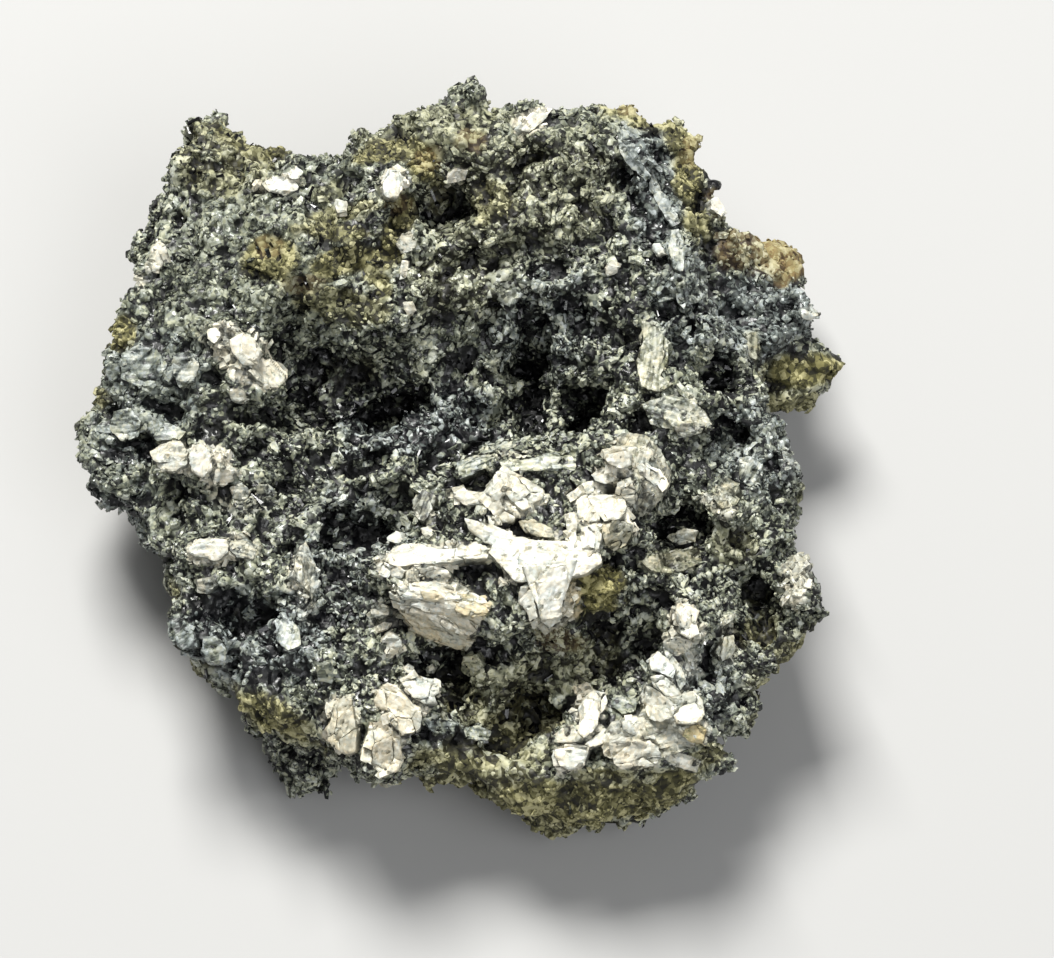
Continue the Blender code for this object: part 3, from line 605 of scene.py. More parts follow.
GREY_BLOCKS = {
    "bar": ("500,461 522,460 548,453 572,456 576,466 573,473 552,470 520,471 504,468", 0.12, 0.3, 0.1, 5),
    "bar, top": ("480,446 500,442 520,441 516,447 496,451 482,454", 0.1, 0.32, 0.0, 5),
    "bar, left": ("457,462 474,456 494,455 496,466 476,471 461,478", 0.1, 0.3, 0.0, 10),
    "ridge crest": ("618,140 628,142 640,160 652,176 646,182 632,168 620,152", 0.12, 0.3, 0.0, -50),
    "ridge crest, middle": ("652,178 662,190 674,208 680,222 672,226 660,208 650,190", 0.12, 0.36, 0.0, -60),
    "ridge crest, low": ("672,230 682,232 684,252 682,270 674,268 670,248", 0.12, 0.32, 0.0, -85),
    "ridge crest, foot": ("676,274 686,276 690,296 684,310 676,300", 0.1, 0.3, 0.0, -80),
    "ridge bar": ("642,322 655,327 667,341 668,360 660,376 672,384 660,391 642,386 637,362 644,342", 0.1, 0.3, 0.3, 85),
    "ridge slab": ("642,404 664,397 688,399 704,411 711,424 700,433 684,437 670,428 652,424", 0.1, 0.40, 0.1, -15),
    "ridge yellow": ("746,334 756,332 760,346 758,360 750,358 745,346", 0.1, 0.4, 0.4, 85),
    "lobe block": ("716,486 726,478 738,484 742,494 736,504 722,508 714,498", 0.15, 0.42, 0.25, 60),
    "lobe plate": ("740,458 752,456 762,466 762,480 750,486 740,478", 0.15, 0.35, 0.0, 60),
    "left plate": ("122,354 138,346 156,350 166,364 158,380 140,386 122,378", 0.08, 0.3, 0.0, 0),
    "left plate, right": ("174,356 188,352 198,364 194,382 180,386 172,370", 0.08, 0.34, 0.0, 0),
    "left plate, low": ("114,412 130,409 141,422 137,436 121,442 111,430", 0.08, 0.34, 0.0, 0),
    "left plate, foot": ("148,420 170,424 184,432 180,438 158,440 146,432", 0.08, 0.36, 0.0, 0),
    "mirror": ("276,622 288,618 298,628 300,644 288,650 278,640", 0.12, 0.15, 0.0, 70),
    "mirror, left": ("204,640 216,638 226,650 224,664 210,666 202,654", 0.1, 0.12, 0.0, 20),
    "mirror, far left": ("168,618 182,620 194,634 196,646 182,648 170,636", 0.1, 0.12, 0.0, 40),
    "mirror, low": ("318,666 330,663 336,673 331,682 319,680", 0.1, 0.15, 0.0, 0),
    "shelf facet": ("464,657 477,655 482,667 472,677 462,670", 0.1, 0.2, 0.3, 0),
    "shelf crumb": ("425,668 432,663 438,668 434,674 427,673", 0.12, 0.6, 0.0, 0),
    "shelf plate": ("426,722 444,720 458,724 454,734 436,736", 0.08, 0.15, 0.0, 0),
    "shelf plate, right": ("462,728 480,726 492,732 486,740 466,738", 0.08, 0.15, 0.0, 0),
    "corner plate": ("612,698 626,697 636,703 634,713 622,714 612,706", 0.08, 0.12, 0.0, -20),
}
BLOCKS = {**WHITE_BLOCKS, **GREY_BLOCKS}
print("outlined blocks:", len(BLOCKS))

# %% Blocks on the sides that the picture doesn't show
# Each block: the x, y, z that it lies nearest to and its radius in millimetres, whiteness, stain.
FAR_BLOCKS = {
    "back seam": (-3.4, 9.0, 4.2, 0.8, 0.9, 0.05),
    "back seam, low": (-2.3, 9.2, 3.2, 0.7, 0.85, 0.1),
    "back seam, foot": (-1.2, 9.0, 2.2, 0.5, 0.8, 0.0),
    "back eye": (5.6, 8.4, 4.6, 0.6, 0.95, 0.0),
    "back eye, chip": (6.5, 8.2, 3.8, 0.4, 0.8, 0.1),
    "back bead": (1.4, 9.6, 5.0, 0.35, 0.9, 0.0),
    "left bead": (-9.4, 3.6, 2.4, 0.45, 0.85, 0.0),
    "left slab": (-8.8, 0.6, 2.2, 0.6, 0.8, 0.1),
    "left chip": (-8.6, -3.2, 1.8, 0.45, 0.75, 0.0),
    "right slab": (8.6, -2.6, 2.2, 0.6, 0.85, 0.05),
    "right chip": (8.4, -1.2, 1.6, 0.4, 0.75, 0.2),
    "right bead": (9.4, 3.4, 2.6, 0.35, 0.9, 0.0),
    "front chip": (-2.0, -8.4, 1.2, 0.4, 0.75, 0.2),
}
print("far blocks:", len(FAR_BLOCKS))

# %% Cast patches and outlines onto the stone
PATCH_DEPTH = (1.0 * MM, 1.7 * MM)
EDGE_RAGGED = 0.38
EDGE_RAGGED_SIZE = 0.55 * MM
COVER_EDGE = (-3.0, 1.0)
BARE_EDGE = (-1.0, 4.0)

surface = BVHTree.FromPolygons(
    [Vector(p) for p in point_array(skin)], [tuple(face.vertices) for face in skin.polygons]
)


def cast(x, y):
    """The place on the stone, and its normal, that shows at a picture position."""
    hit, normal, _, _ = surface.ray_cast(EYE, sight_line(x, y))
    return hit, normal


def spots_of(mesh):
    """What the masks need to know of a mesh's points."""
    places = point_array(mesh)
    x, y, nearness = picture_of(places)
    ragged = np.array([noise.noise(Vector(p) / EDGE_RAGGED_SIZE) for p in places]) * EDGE_RAGGED
    return {"places": places, "x": x, "y": y, "nearness": nearness, "ragged": ragged}


def level_with(hit, nearness):
    """1 for points about as deep in the picture as the place hit, 0 for those far behind it."""
    _, _, hit_nearness = picture_of(np.array([hit]))
    return 1 - smooth_step(np.abs(nearness - hit_nearness), *PATCH_DEPTH)


def seen_mask(spots, patches):
    """How strongly the picture's patches cover each point, 0 to 1."""
    mask = np.zeros(len(spots["x"]))
    for x, y, half_length, half_width, turn, strength in patches.values():
        hit, _ = cast(x, y)
        if hit is None:
            continue
        c, s = math.cos(math.radians(turn)), math.sin(math.radians(turn))
        right, up = spots["x"] - x, y - spots["y"]
        along = (right * c + up * s) / half_length
        across = (up * c - right * s) / half_width
        inside = 1 - smooth_step(np.hypot(along, across) + spots["ragged"], 0.75, 1.15)
        mask = np.maximum(mask, inside * level_with(hit, spots["nearness"]) * strength)
    return mask


def far_mask(spots, patches):
    """The same for patches given by their place on the stone."""
    mask = np.zeros(len(spots["x"]))
    for x, y, z, radius, strength in patches.values():
        gap = np.linalg.norm(spots["places"] - np.array((x, y, z)) * MM, axis=1)
        inside = 1 - smooth_step(gap / (radius * MM) + spots["ragged"], 0.7, 1.2)
        mask = np.maximum(mask, inside * strength)
    return mask


def corners_of(text):
    """An outline's corners from its text."""
    return np.array([[float(number) for number in corner.split(",")] for corner in text.split()])


def inside_by(corners, x, y):
    """How far each position lies inside an outline, in pixels; less than 0 is outside."""
    gap = np.full(np.shape(x), np.inf)
    inside = np.zeros(np.shape(x), dtype=bool)
    for (ax, ay), (bx, by) in zip(corners, np.roll(corners, -1, axis=0)):
        side_x, side_y = bx - ax, by - ay
        share = np.clip(((x - ax) * side_x + (y - ay) * side_y) / (side_x**2 + side_y**2), 0, 1)
        gap = np.minimum(gap, np.hypot(x - ax - share * side_x, y - ay - share * side_y))
        if side_y:
            inside ^= ((ay > y) != (by > y)) & (x < ax + (y - ay) / side_y * side_x)
    return np.where(inside, gap, -gap)


def block_masks(spots):
    """How far the outlined blocks cover each point, the whiteness and stain that they lend it, and
    how far inside a block it is, where no loose grain lies."""
    cover, whiteness, stain, deep = (np.zeros(len(spots["x"])) for _ in range(4))
    for text, _, block_white, block_stain, _ in BLOCKS.values():
        corners = corners_of(text)
        hit, _ = cast(*corners.mean(axis=0))
        if hit is None:
            continue
        low, high = corners.min(axis=0) + COVER_EDGE[0], corners.max(axis=0) - COVER_EDGE[0]
        close = (spots["x"] > low[0]) & (spots["x"] < high[0]) & (spots["y"] > low[1]) & (spots["y"] < high[1])
        near = np.nonzero(close)[0]
        inside = inside_by(corners, spots["x"][near], spots["y"][near])
        level = level_with(hit, spots["nearness"][near])
        here = smooth_step(inside, *COVER_EDGE) * level
        deep[near] = np.maximum(deep[near], smooth_step(inside, *BARE_EDGE) * level)
        cover[near] = np.maximum(cover[near], here)
        whiteness[near] = np.maximum(whiteness[near], here * block_white)
        stain[near] = np.maximum(stain[near], here * block_stain)
    for x, y, z, radius, block_white, block_stain in FAR_BLOCKS.values():
        gap = np.linalg.norm(spots["places"] - np.array(surface.find_nearest(Vector((x, y, z)) * MM)[0]), axis=1)
        here = 1 - smooth_step(gap / (radius * MM) + 0.5 * spots["ragged"], 0.75, 1.0)
        cover, deep = np.maximum(cover, here), np.maximum(deep, here)
        whiteness = np.maximum(whiteness, here * block_white)
        stain = np.maximum(stain, here * block_stain)
    return cover, whiteness, stain, deep


for table in (WHITE_PATCHES, OCHRE_PATCHES, RUST_PATCHES, DARK_AND_SHADE_PATCHES, PALE_AND_LIT_PATCHES, COOL_AND_SHEEN_PATCHES):
    missed = [name for name, row in table.items() if cast(*row[:2])[0] is None]
    print("patches that miss the stone:", missed or "none")
print("blocks that miss the stone:", [n for n, row in BLOCKS.items() if cast(*corners_of(row[0]).mean(axis=0))[0] is None] or "none")
first_spots = spots_of(skin)
first_cover, _, _, _ = block_masks(first_spots)
print(f"blocks cover {100 * first_cover.mean():.1f}% of the first skin")

# %% [markdown]
# ## The broken body of the ore
#
# The ore isn't smooth anywhere: it is grains that have broken away from each other, with black
# gaps between them. The first skin is moved in and out: deep gaps first, then a fresh skin, then
# the grains, each a small flat face with its own tilt. Moving real points gives true outlines and
# shadows, which bump alone can't. The blocks and the fine-grained pale parts of the stone keep
# calmer, so the depth is weighed by the masks.

# %% Deep gaps between the clumps
FINAL_SKIN = 0.10 * MM
GAP_SIZE = 1.05 * MM
GAP_DEPTH = 0.50 * MM
CLUMP_SIZE = 0.66 * MM
CRACK_WIDTH = 0.30
CRACK_DEPTH = 0.24 * MM
HOLE_DEPTH = 0.42 * MM


def gap_and_clump(place):
    """How far a point moves out: clumps stand out a little and gaps cut in deep."""
    point = Vector(place)
    bend = noise.noise_vector(point / GAP_SIZE) * 0.5
    gap = noise.noise(point / GAP_SIZE + bend)
    distances, _ = noise.voronoi(point / CLUMP_SIZE + bend)
    crack = 1 - min((distances[1] - distances[0]) / CRACK_WIDTH, 1)
    deep = min(max((gap - 0.10) / 0.25, 0), 1)
    return 0.03 * MM - CRACK_DEPTH * crack**1.5 - GAP_DEPTH * deep


def moved_out(mesh, move, shares, sinks=0.0):
    """Moves every point along its normal, out by its share of move(point) and in by what it sinks,
    and returns the mesh."""
    places, normals = point_array(mesh), normal_array(mesh)
    heights = np.array([move(place) for place in places]) * shares - sinks
    moved = lay_on_table(places + normals * heights[:, None])
    mesh.vertices.foreach_set("co", moved.ravel())
    mesh.update()
    return mesh


# Patches as before, where the stone is thin or smooth and is left alone.
CALM_PATCHES = {
    "spur": (815, 365, 60, 30, 5, 1.0),
    "tab": (785, 255, 45, 35, 0, 1.0),
    "horn tip": (240, 120, 60, 30, -20, 0.7),
    "front flank": (600, 792, 130, 30, 8, 0.9),
    "front flank, left": (490, 770, 80, 22, -22, 0.9),
    "left flank": (275, 715, 50, 16, -35, 0.7),
}
first_white = np.maximum(seen_mask(first_spots, WHITE_PATCHES), far_mask(first_spots, FAR_WHITE))
first_pale_and_lit = np.maximum(seen_mask(first_spots, PALE_AND_LIT_PATCHES), far_mask(first_spots, FAR_PALE))
first_dark_and_shade = seen_mask(first_spots, DARK_AND_SHADE_PATCHES)
gap_share = (1 - 0.9 * first_cover) * (1 - 0.5 * first_white) * (1 - 0.45 * first_pale_and_lit) * (1 + 0.3 * first_dark_and_shade)
first_calm = seen_mask(first_spots, CALM_PATCHES)
gap_share *= 1 - 0.8 * first_calm
hole_depth = HOLE_DEPTH * first_dark_and_shade * (1 - first_cover) * (1 - first_calm)
skin = skinned(moved_out(skin, gap_and_clump, gap_share, hole_depth), FINAL_SKIN)
print("final skin:", len(skin.vertices), "points,", len(skin.polygons), "squares")

# %% Grains
GRAIN_SIZE = 0.34 * MM
GRAIN_HEIGHT = 0.085 * MM
GRAIN_TILT = 2.8


def grain(place):
    """Angular grains: each is a flat face of its own height and tilt, with a crack round it."""
    point = Vector(place) / GRAIN_SIZE
    distances, seeds = noise.voronoi(point)
    lot = noise.cell_vector(seeds[0] * 97) - Vector((0.5, 0.5, 0.5))
    crack = 1 - min((distances[1] - distances[0]) / 0.25, 1)
    return GRAIN_HEIGHT * (lot.x + GRAIN_TILT * lot.dot(point - seeds[0]) - 0.5 * crack)


spots = spots_of(skin)
cover, block_white, block_stain, deep_inside = block_masks(spots)
calm = seen_mask(spots, CALM_PATCHES)
skin = moved_out(skin, grain, (1 - 0.7 * cover) * (1 - 0.55 * calm))
points, picture_x, picture_y = point_array(skin), spots["x"], spots["y"]
print("grains stand up to", GRAIN_HEIGHT / MM, "mm")

# %% Give the skin its masks
CRACK_ROUNDS = 3
CRACK_SPAN = (-0.005 * MM, 0.04 * MM)
HOLLOW_ROUNDS = 24
HOLLOW_SPAN = (0.0 * MM, 0.16 * MM)


def store(mesh, name, values):
    """Keeps one number for each point of the mesh, which materials and node trees can read."""
    attribute = mesh.attributes.new(name, "FLOAT", "POINT")
    attribute.data.foreach_set("value", np.asarray(values, dtype=np.float32))


def hollowness(mesh, rounds):
    """How far each point lies below its surroundings, in metres: the surroundings are the mean of
    the neighbours, taken again and again so that it reaches further out."""
    places = point_array(mesh)
    ends = np.empty(len(mesh.edges) * 2, dtype=np.int64)
    mesh.edges.foreach_get("vertices", ends)
    first, second = ends[0::2], ends[1::2]
    count = np.bincount(ends, minlength=len(places))[:, None]
    mean = places.copy()
    for _ in range(rounds):
        total = np.zeros_like(mean)
        for axis in range(3):
            total[:, axis] += np.bincount(first, weights=mean[second, axis], minlength=len(places))
            total[:, axis] += np.bincount(second, weights=mean[first, axis], minlength=len(places))
        mean = total / count
    return np.einsum("ij,ij->i", mean - places, normal_array(mesh))


# Of these masks, crack and hollow say how far a point lies below its surroundings, and the materials darken them as
# painted shade; dark is partly painted shade, pale partly painted light and cool partly a painted bluish sheen; white,
# ochre and rust are the stone's own colours.
dark = seen_mask(spots, DARK_AND_SHADE_PATCHES)
white = np.maximum(seen_mask(spots, WHITE_PATCHES), far_mask(spots, FAR_WHITE)) * (1 - 0.9 * dark)
white = np.maximum(white * (1 - cover), 0.8 * block_white * cover)
ochre = np.maximum(seen_mask(spots, OCHRE_PATCHES), far_mask(spots, FAR_OCHRE)) * (1 - 0.6 * white) * (1 - 0.7 * dark)
MASKS = {
    "white": white,
    "ochre": np.maximum(ochre * (1 - cover), block_stain),
    "rust": np.maximum(seen_mask(spots, RUST_PATCHES), far_mask(spots, FAR_RUST)) * (1 - cover),
    "dark": dark,
    "pale": np.maximum(seen_mask(spots, PALE_AND_LIT_PATCHES), far_mask(spots, FAR_PALE)),
    "cool": seen_mask(spots, COOL_AND_SHEEN_PATCHES),
    "crack": smooth_step(hollowness(skin, CRACK_ROUNDS), *CRACK_SPAN),
    "hollow": smooth_step(hollowness(skin, HOLLOW_ROUNDS), *HOLLOW_SPAN),
}
for name, values in MASKS.items():
    store(skin, name, values)
    print(f"{name}: {100 * values.mean():.1f}% of the skin")

# %% Which way the blades run
def run_directions():
    """For each point, the direction in which the white mineral's blades run there."""
    run = np.zeros((len(points), 3))
    run[:] = VIEW_RIGHT
    nearest = np.full(len(points), np.inf)
    for x, y, half_length, half_width, turn, _ in (*WHITE_PATCHES.values(), *RUN_ZONES.values()):
        gap = np.hypot((picture_x - x) / half_length, (picture_y - y) / half_width)
        angle = math.radians(turn if half_length >= half_width else turn + 90)
        here = gap < nearest
        nearest[here] = gap[here]
        run[here] = VIEW_RIGHT * math.cos(angle) + VIEW_UP * math.sin(angle)
    return run


directions = skin.attributes.new("run", "FLOAT_VECTOR", "POINT")
directions.data.foreach_set("vector", run_directions().astype(np.float32).ravel())
print("blade directions stored for", len(points), "points")

# %% [markdown]
# ## The finishes
#
# All the minerals of this stone are mixed grain by grain, so they share one node group, the
# mineral mix. It takes the patch masks and a tone, which is a different number for every grain,
# and gives a colour and a roughness. Its crack and hollow masks darken creases, hollows and the
# gaps round the blocks, which is painted shade; the dark, pale and cool masks are partly painted
# shade, light and sheen. A second group gives the skin its tones, one for each cell
# of a cell pattern (Voronoi) as fine as the grains. Both are built once and placed in each
# material with its own values.

# %% Node helpers
def add_node(tree, kind, **settings):
    """A node of a tree, with its settings."""
    node = tree.nodes.new(kind)
    for name, value in settings.items():
        setattr(node, name, value)
    return node


def join(tree, source, target):
    """A link from one socket to another."""
    tree.links.new(source, target)


def new_group(name, inputs, outputs):
    """An empty shader group with named number and colour sockets."""
    group = bpy.data.node_groups.new(name, "ShaderNodeTree")
    for way, sockets in (("INPUT", inputs), ("OUTPUT", outputs)):
        for socket_name, kind in sockets.items():
            group.interface.new_socket(socket_name, in_out=way, socket_type=f"NodeSocket{kind}")
    return group, add_node(group, "NodeGroupInput"), add_node(group, "NodeGroupOutput")


def sum_of(tree, terms, offset=0.0):
    """offset plus each (socket, weight), kept between 0 and 1 at the end."""
    total = None
    for socket, weight in terms:
        step = add_node(tree, "ShaderNodeMath", operation="MULTIPLY_ADD")
        join(tree, socket, step.inputs[0])
        step.inputs[1].default_value = weight
        if total is None:
            step.inputs[2].default_value = offset
        else:
            join(tree, total, step.inputs[2])
        total = step.outputs[0]
    step.use_clamp = True
    return total


def ramp(tree, factor, stops):
    """A colour ramp through (position, colour) stops."""
    node = add_node(tree, "ShaderNodeValToRGB")
    while len(node.color_ramp.elements) < len(stops):
        node.color_ramp.elements.new(0.5)
    for element, (position, colour) in zip(node.color_ramp.elements, stops):
        element.position = position
        element.color = (*colour, 1.0)
    join(tree, factor, node.inputs["Fac"])
    return node.outputs["Color"]


def blend_colours(tree, factor, first, second):
    """First where factor is 0 and second where it is 1."""
    mix = add_node(tree, "ShaderNodeMix", data_type="RGBA")
    join(tree, factor, mix.inputs["Factor"])
    join(tree, first, mix.inputs["A"])
    join(tree, second, mix.inputs["B"])
    return mix.outputs["Result"]


def blend_numbers(tree, factor, first, second):
    """The same for two numbers or sockets."""
    mix = add_node(tree, "ShaderNodeMix", data_type="FLOAT")
    join(tree, factor, mix.inputs["Factor"])
    for value, socket in ((first, mix.inputs["A"]), (second, mix.inputs["B"])):
        if isinstance(value, float):
            socket.default_value = value
        else:
            join(tree, value, socket)
    return mix.outputs["Result"]


print("node helpers ready")

# %% The mineral mix
ORE_COLOURS = (
    (0.0, (0.003, 0.003, 0.004)),
    (0.26, (0.008, 0.009, 0.009)),
    (0.42, (0.049, 0.054, 0.045)),
    (0.60, (0.160, 0.174, 0.142)),
    (0.80, (0.30, 0.318, 0.262)),
    (1.0, (0.52, 0.53, 0.46)),
)
OCHRE_COLOURS = (
    (0.0, (0.015, 0.014, 0.005)),
    (0.35, (0.072, 0.067, 0.020)),
    (0.65, (0.19, 0.172, 0.060)),
    (1.0, (0.43, 0.395, 0.19)),
)
RUST_COLOURS = (
    (0.0, (0.05, 0.028, 0.010)),
    (0.35, (0.20, 0.140, 0.055)),
    (0.7, (0.28, 0.238, 0.108)),
    (1.0, (0.40, 0.36, 0.21)),
)
WHITE_COLOURS = (
    (0.0, (0.05, 0.052, 0.045)),
    (0.3, (0.24, 0.24, 0.21)),
    (0.55, (0.46, 0.45, 0.39)),
    (0.8, (0.64, 0.62, 0.54)),
    (1.0, (0.78, 0.76, 0.69)),
)
MASK_INPUTS = ("White", "Ochre", "Rust", "Dark", "Pale", "Cool", "Crack", "Hollow")
WARM_TINT = (0.98, 0.97, 0.80)
COOL_TINT = (0.81, 0.86, 1.0)
PALE_AND_LIT_TONE = 0.68
WARM_WHITE = (1.0, 0.945, 0.83)
COOL_WHITE = (0.86, 0.94, 1.0)
STAIN_TINT = (0.72, 0.56, 0.26)

mineral_mix, mix_in, mix_out = new_group(
    "mineral mix",
    {**{name: "Float" for name in MASK_INPUTS}, "Tone": "Float", "Hue": "Float"},
    {"Color": "Color", "Roughness": "Float"},
)
# Each tone below is lowered by the crack and hollow masks: painted shade in creases, hollows and the gaps round the
# blocks. The ore's tone is lowered by the dark mask too: partly darker ore, partly painted shade in holes.
raw_ore_tone = sum_of(
    mineral_mix,
    (
        (mix_in.outputs["Tone"], 1.4),
        (mix_in.outputs["Dark"], -0.38),
        (mix_in.outputs["Crack"], -0.40),
        (mix_in.outputs["Hollow"], -0.48),
    ),
    offset=-0.04,
)
# The pale mask lifts the ore's tone: partly paler ore, partly painted light.
pale_and_lit_share = sum_of(mineral_mix, ((mix_in.outputs["Pale"], 0.5),))
crust_tone = sum_of(
    mineral_mix,
    (
        (mix_in.outputs["Tone"], 1.15),
        (mix_in.outputs["Crack"], -0.35),
        (mix_in.outputs["Hollow"], -0.25),
    ),
    offset=0.06,
)
white_tone = sum_of(
    mineral_mix,
    (
        (mix_in.outputs["White"], 0.50),
        (mix_in.outputs["Tone"], 0.75),
        (mix_in.outputs["Crack"], -0.55),
        (mix_in.outputs["Hollow"], -0.25),
    ),
    offset=-0.02,
)


ore_tone = blend_numbers(mineral_mix, pale_and_lit_share, raw_ore_tone, PALE_AND_LIT_TONE)


def tinted(tree, colour, tint):
    """The colour multiplied by a tint."""
    node = add_node(tree, "ShaderNodeMix", data_type="RGBA", blend_type="MULTIPLY")
    node.inputs["Factor"].default_value = 1.0
    join(tree, colour, node.inputs["A"])
    join(tree, tint, node.inputs["B"])
    return node.outputs["Result"]


# The cool mask tints bluish: partly the ore's own tone, partly a painted bluish sheen.
warmth = sum_of(mineral_mix, ((mix_in.outputs["Hue"], 0.7), (mix_in.outputs["Cool"], -0.75)), offset=0.35)
ore_tint = ramp(mineral_mix, warmth, ((0.0, COOL_TINT), (1.0, WARM_TINT)))
white_tint = ramp(mineral_mix, warmth, ((0.0, COOL_WHITE), (1.0, WARM_WHITE)))
stain = ramp(mineral_mix, mix_in.outputs["Ochre"], ((0.0, (1.0, 1.0, 1.0)), (1.0, STAIN_TINT)))
ore_colour = tinted(mineral_mix, ramp(mineral_mix, ore_tone, ORE_COLOURS), ore_tint)
ochre_colour = ramp(mineral_mix, crust_tone, OCHRE_COLOURS)
rust_colour = ramp(mineral_mix, crust_tone, RUST_COLOURS)
white_colour = tinted(mineral_mix, ramp(mineral_mix, white_tone, WHITE_COLOURS), white_tint)
white_colour = tinted(mineral_mix, white_colour, stain)
with_ochre = blend_colours(mineral_mix, mix_in.outputs["Ochre"], ore_colour, ochre_colour)
with_rust = blend_colours(mineral_mix, mix_in.outputs["Rust"], with_ochre, rust_colour)
white_share = sum_of(
    mineral_mix, ((mix_in.outputs["White"], 2.2), (mix_in.outputs["Tone"], 0.9)), offset=-0.9
)
all_colours = blend_colours(mineral_mix, white_share, with_rust, white_colour)
crust_share = sum_of(mineral_mix, ((mix_in.outputs["Ochre"], 1.0), (mix_in.outputs["Rust"], 1.0)))
gloss_lot = sum_of(mineral_mix, ((mix_in.outputs["Hue"], 0.45), (mix_in.outputs["Tone"], -0.1)), offset=0.26)
rough = blend_numbers(mineral_mix, crust_share, gloss_lot, 0.88)
join(mineral_mix, all_colours, mix_out.inputs["Color"])
join(mineral_mix, rough, mix_out.inputs["Roughness"])
print("mineral mix:", len(mineral_mix.nodes), "nodes")

# %% The skin's own tones
tone_group, tone_in, tone_out = new_group(
    "grain tones", {"Grain Size": "Float", "Contrast": "Float"}, {"Tone": "Float", "Hue": "Float", "Height": "Float"}
)


def scaled_place(tree, place, size, share):
    """The place measured in grains: divided by the size and a share of it."""
    divide = add_node(tree, "ShaderNodeMath", operation="DIVIDE")
    divide.inputs[0].default_value = 1 / share
    join(tree, size, divide.inputs[1])
    scale = add_node(tree, "ShaderNodeVectorMath", operation="SCALE")
    join(tree, place, scale.inputs[0])
    join(tree, divide.outputs[0], scale.inputs["Scale"])
    return scale.outputs[0]


place = add_node(tone_group, "ShaderNodeTexCoord").outputs["Object"]
cells, cell_places = {}, {}
for name, share in (("coarse", 1.0), ("fine", 0.45)):
    cells[name] = add_node(tone_group, "ShaderNodeTexVoronoi")
    cells[name].inputs["Scale"].default_value = 1.0
    cell_places[name] = scaled_place(tone_group, place, tone_in.outputs["Grain Size"], share)
    join(tone_group, cell_places[name], cells[name].inputs["Vector"])
drift = add_node(tone_group, "ShaderNodeTexNoise")
drift.inputs["Scale"].default_value = 1.0
drift.inputs["Detail"].default_value = 3.0
join(tone_group, scaled_place(tone_group, place, tone_in.outputs["Grain Size"], 5.0), drift.inputs["Vector"])
cell_tones = []
for name in cells:
    split = add_node(tone_group, "ShaderNodeSeparateColor")
    join(tone_group, cells[name].outputs["Color"], split.inputs["Color"])
    cell_tones.append(split.outputs["Red"])
join(tone_group, split.outputs["Green"], tone_out.inputs["Hue"])
raw_tone = sum_of(
    tone_group, ((cell_tones[0], 0.45), (cell_tones[1], 0.40), (drift.outputs["Fac"], 0.9)), offset=-0.38
)
centred = add_node(tone_group, "ShaderNodeMath", operation="SUBTRACT")
join(tone_group, raw_tone, centred.inputs[0])
centred.inputs[1].default_value = 0.5
stretched = add_node(tone_group, "ShaderNodeMath", operation="MULTIPLY_ADD", use_clamp=True)
join(tone_group, centred.outputs[0], stretched.inputs[0])
join(tone_group, tone_in.outputs["Contrast"], stretched.inputs[1])
stretched.inputs[2].default_value = 0.5
join(tone_group, stretched.outputs[0], tone_out.inputs["Tone"])


def facet(tree, cell, place):
    """A flat face for each cell: the place from the cell's seed, along a way of the cell's own."""
    away = add_node(tree, "ShaderNodeVectorMath", operation="SUBTRACT")
    join(tree, place, away.inputs[0])
    join(tree, cell.outputs["Position"], away.inputs[1])
    way = add_node(tree, "ShaderNodeVectorMath", operation="SUBTRACT")
    join(tree, cell.outputs["Color"], way.inputs[0])
    way.inputs[1].default_value = (0.5, 0.5, 0.5)
    slope = add_node(tree, "ShaderNodeVectorMath", operation="DOT_PRODUCT")
    join(tree, away.outputs[0], slope.inputs[0])
    join(tree, way.outputs[0], slope.inputs[1])
    return slope.outputs["Value"]


facets = [facet(tone_group, cells[name], cell_places[name]) for name in cells]
height = sum_of(
    tone_group,
    (
        (facets[0], 1.0),
        (facets[1], 0.5),
        (cells["coarse"].outputs["Distance"], -0.25),
        (cells["fine"].outputs["Distance"], -0.15),
    ),
    offset=0.6,
)
join(tone_group, height, tone_out.inputs["Height"])
print("grain tones:", len(tone_group.nodes), "nodes")

# %% One material for each kind of grain
SKIN_GRAIN = 0.26 * MM
STREAKS_PER_MM = (0.9, 9.0, 3.0)
SPECK_SIZE = 0.13 * MM
SPECK_SWARM = 0.9 * MM
HAZE_SIZE = 0.6 * MM


def mask_reader(tree, name):
    """The value of one of the piece's own attributes."""
    return add_node(tree, "ShaderNodeAttribute", attribute_type="GEOMETRY", attribute_name=name).outputs["Fac"]


def streaks(tree):
    """Fine streaks along the grain of a block, from where each point lies in it."""
    lie = add_node(tree, "ShaderNodeAttribute", attribute_type="GEOMETRY", attribute_name="lie")
    stretch = add_node(tree, "ShaderNodeVectorMath", operation="MULTIPLY")
    join(tree, lie.outputs["Vector"], stretch.inputs[0])
    stretch.inputs[1].default_value = STREAKS_PER_MM
    streak = add_node(tree, "ShaderNodeTexNoise")
    streak.inputs["Scale"].default_value = 1.0
    streak.inputs["Detail"].default_value = 3.0
    join(tree, stretch.outputs[0], streak.inputs["Vector"])
    return streak.outputs["Fac"]


def cloud(tree, size, detail):
    """Smooth noise in the stone's own space."""
    node = add_node(tree, "ShaderNodeTexNoise")
    node.inputs["Scale"].default_value = 1 / size
    node.inputs["Detail"].default_value = detail
    join(tree, add_node(tree, "ShaderNodeTexCoord").outputs["Object"], node.inputs["Vector"])
    return node.outputs["Fac"]


def specks(tree):
    """1 in small dark inclusions, which are thick in some places and rare in others."""
    grains, swarms = cloud(tree, SPECK_SIZE, 2.0), cloud(tree, SPECK_SWARM, 1.0)
    return sum_of(tree, ((grains, 9.0), (swarms, 5.0)), offset=-8.6)


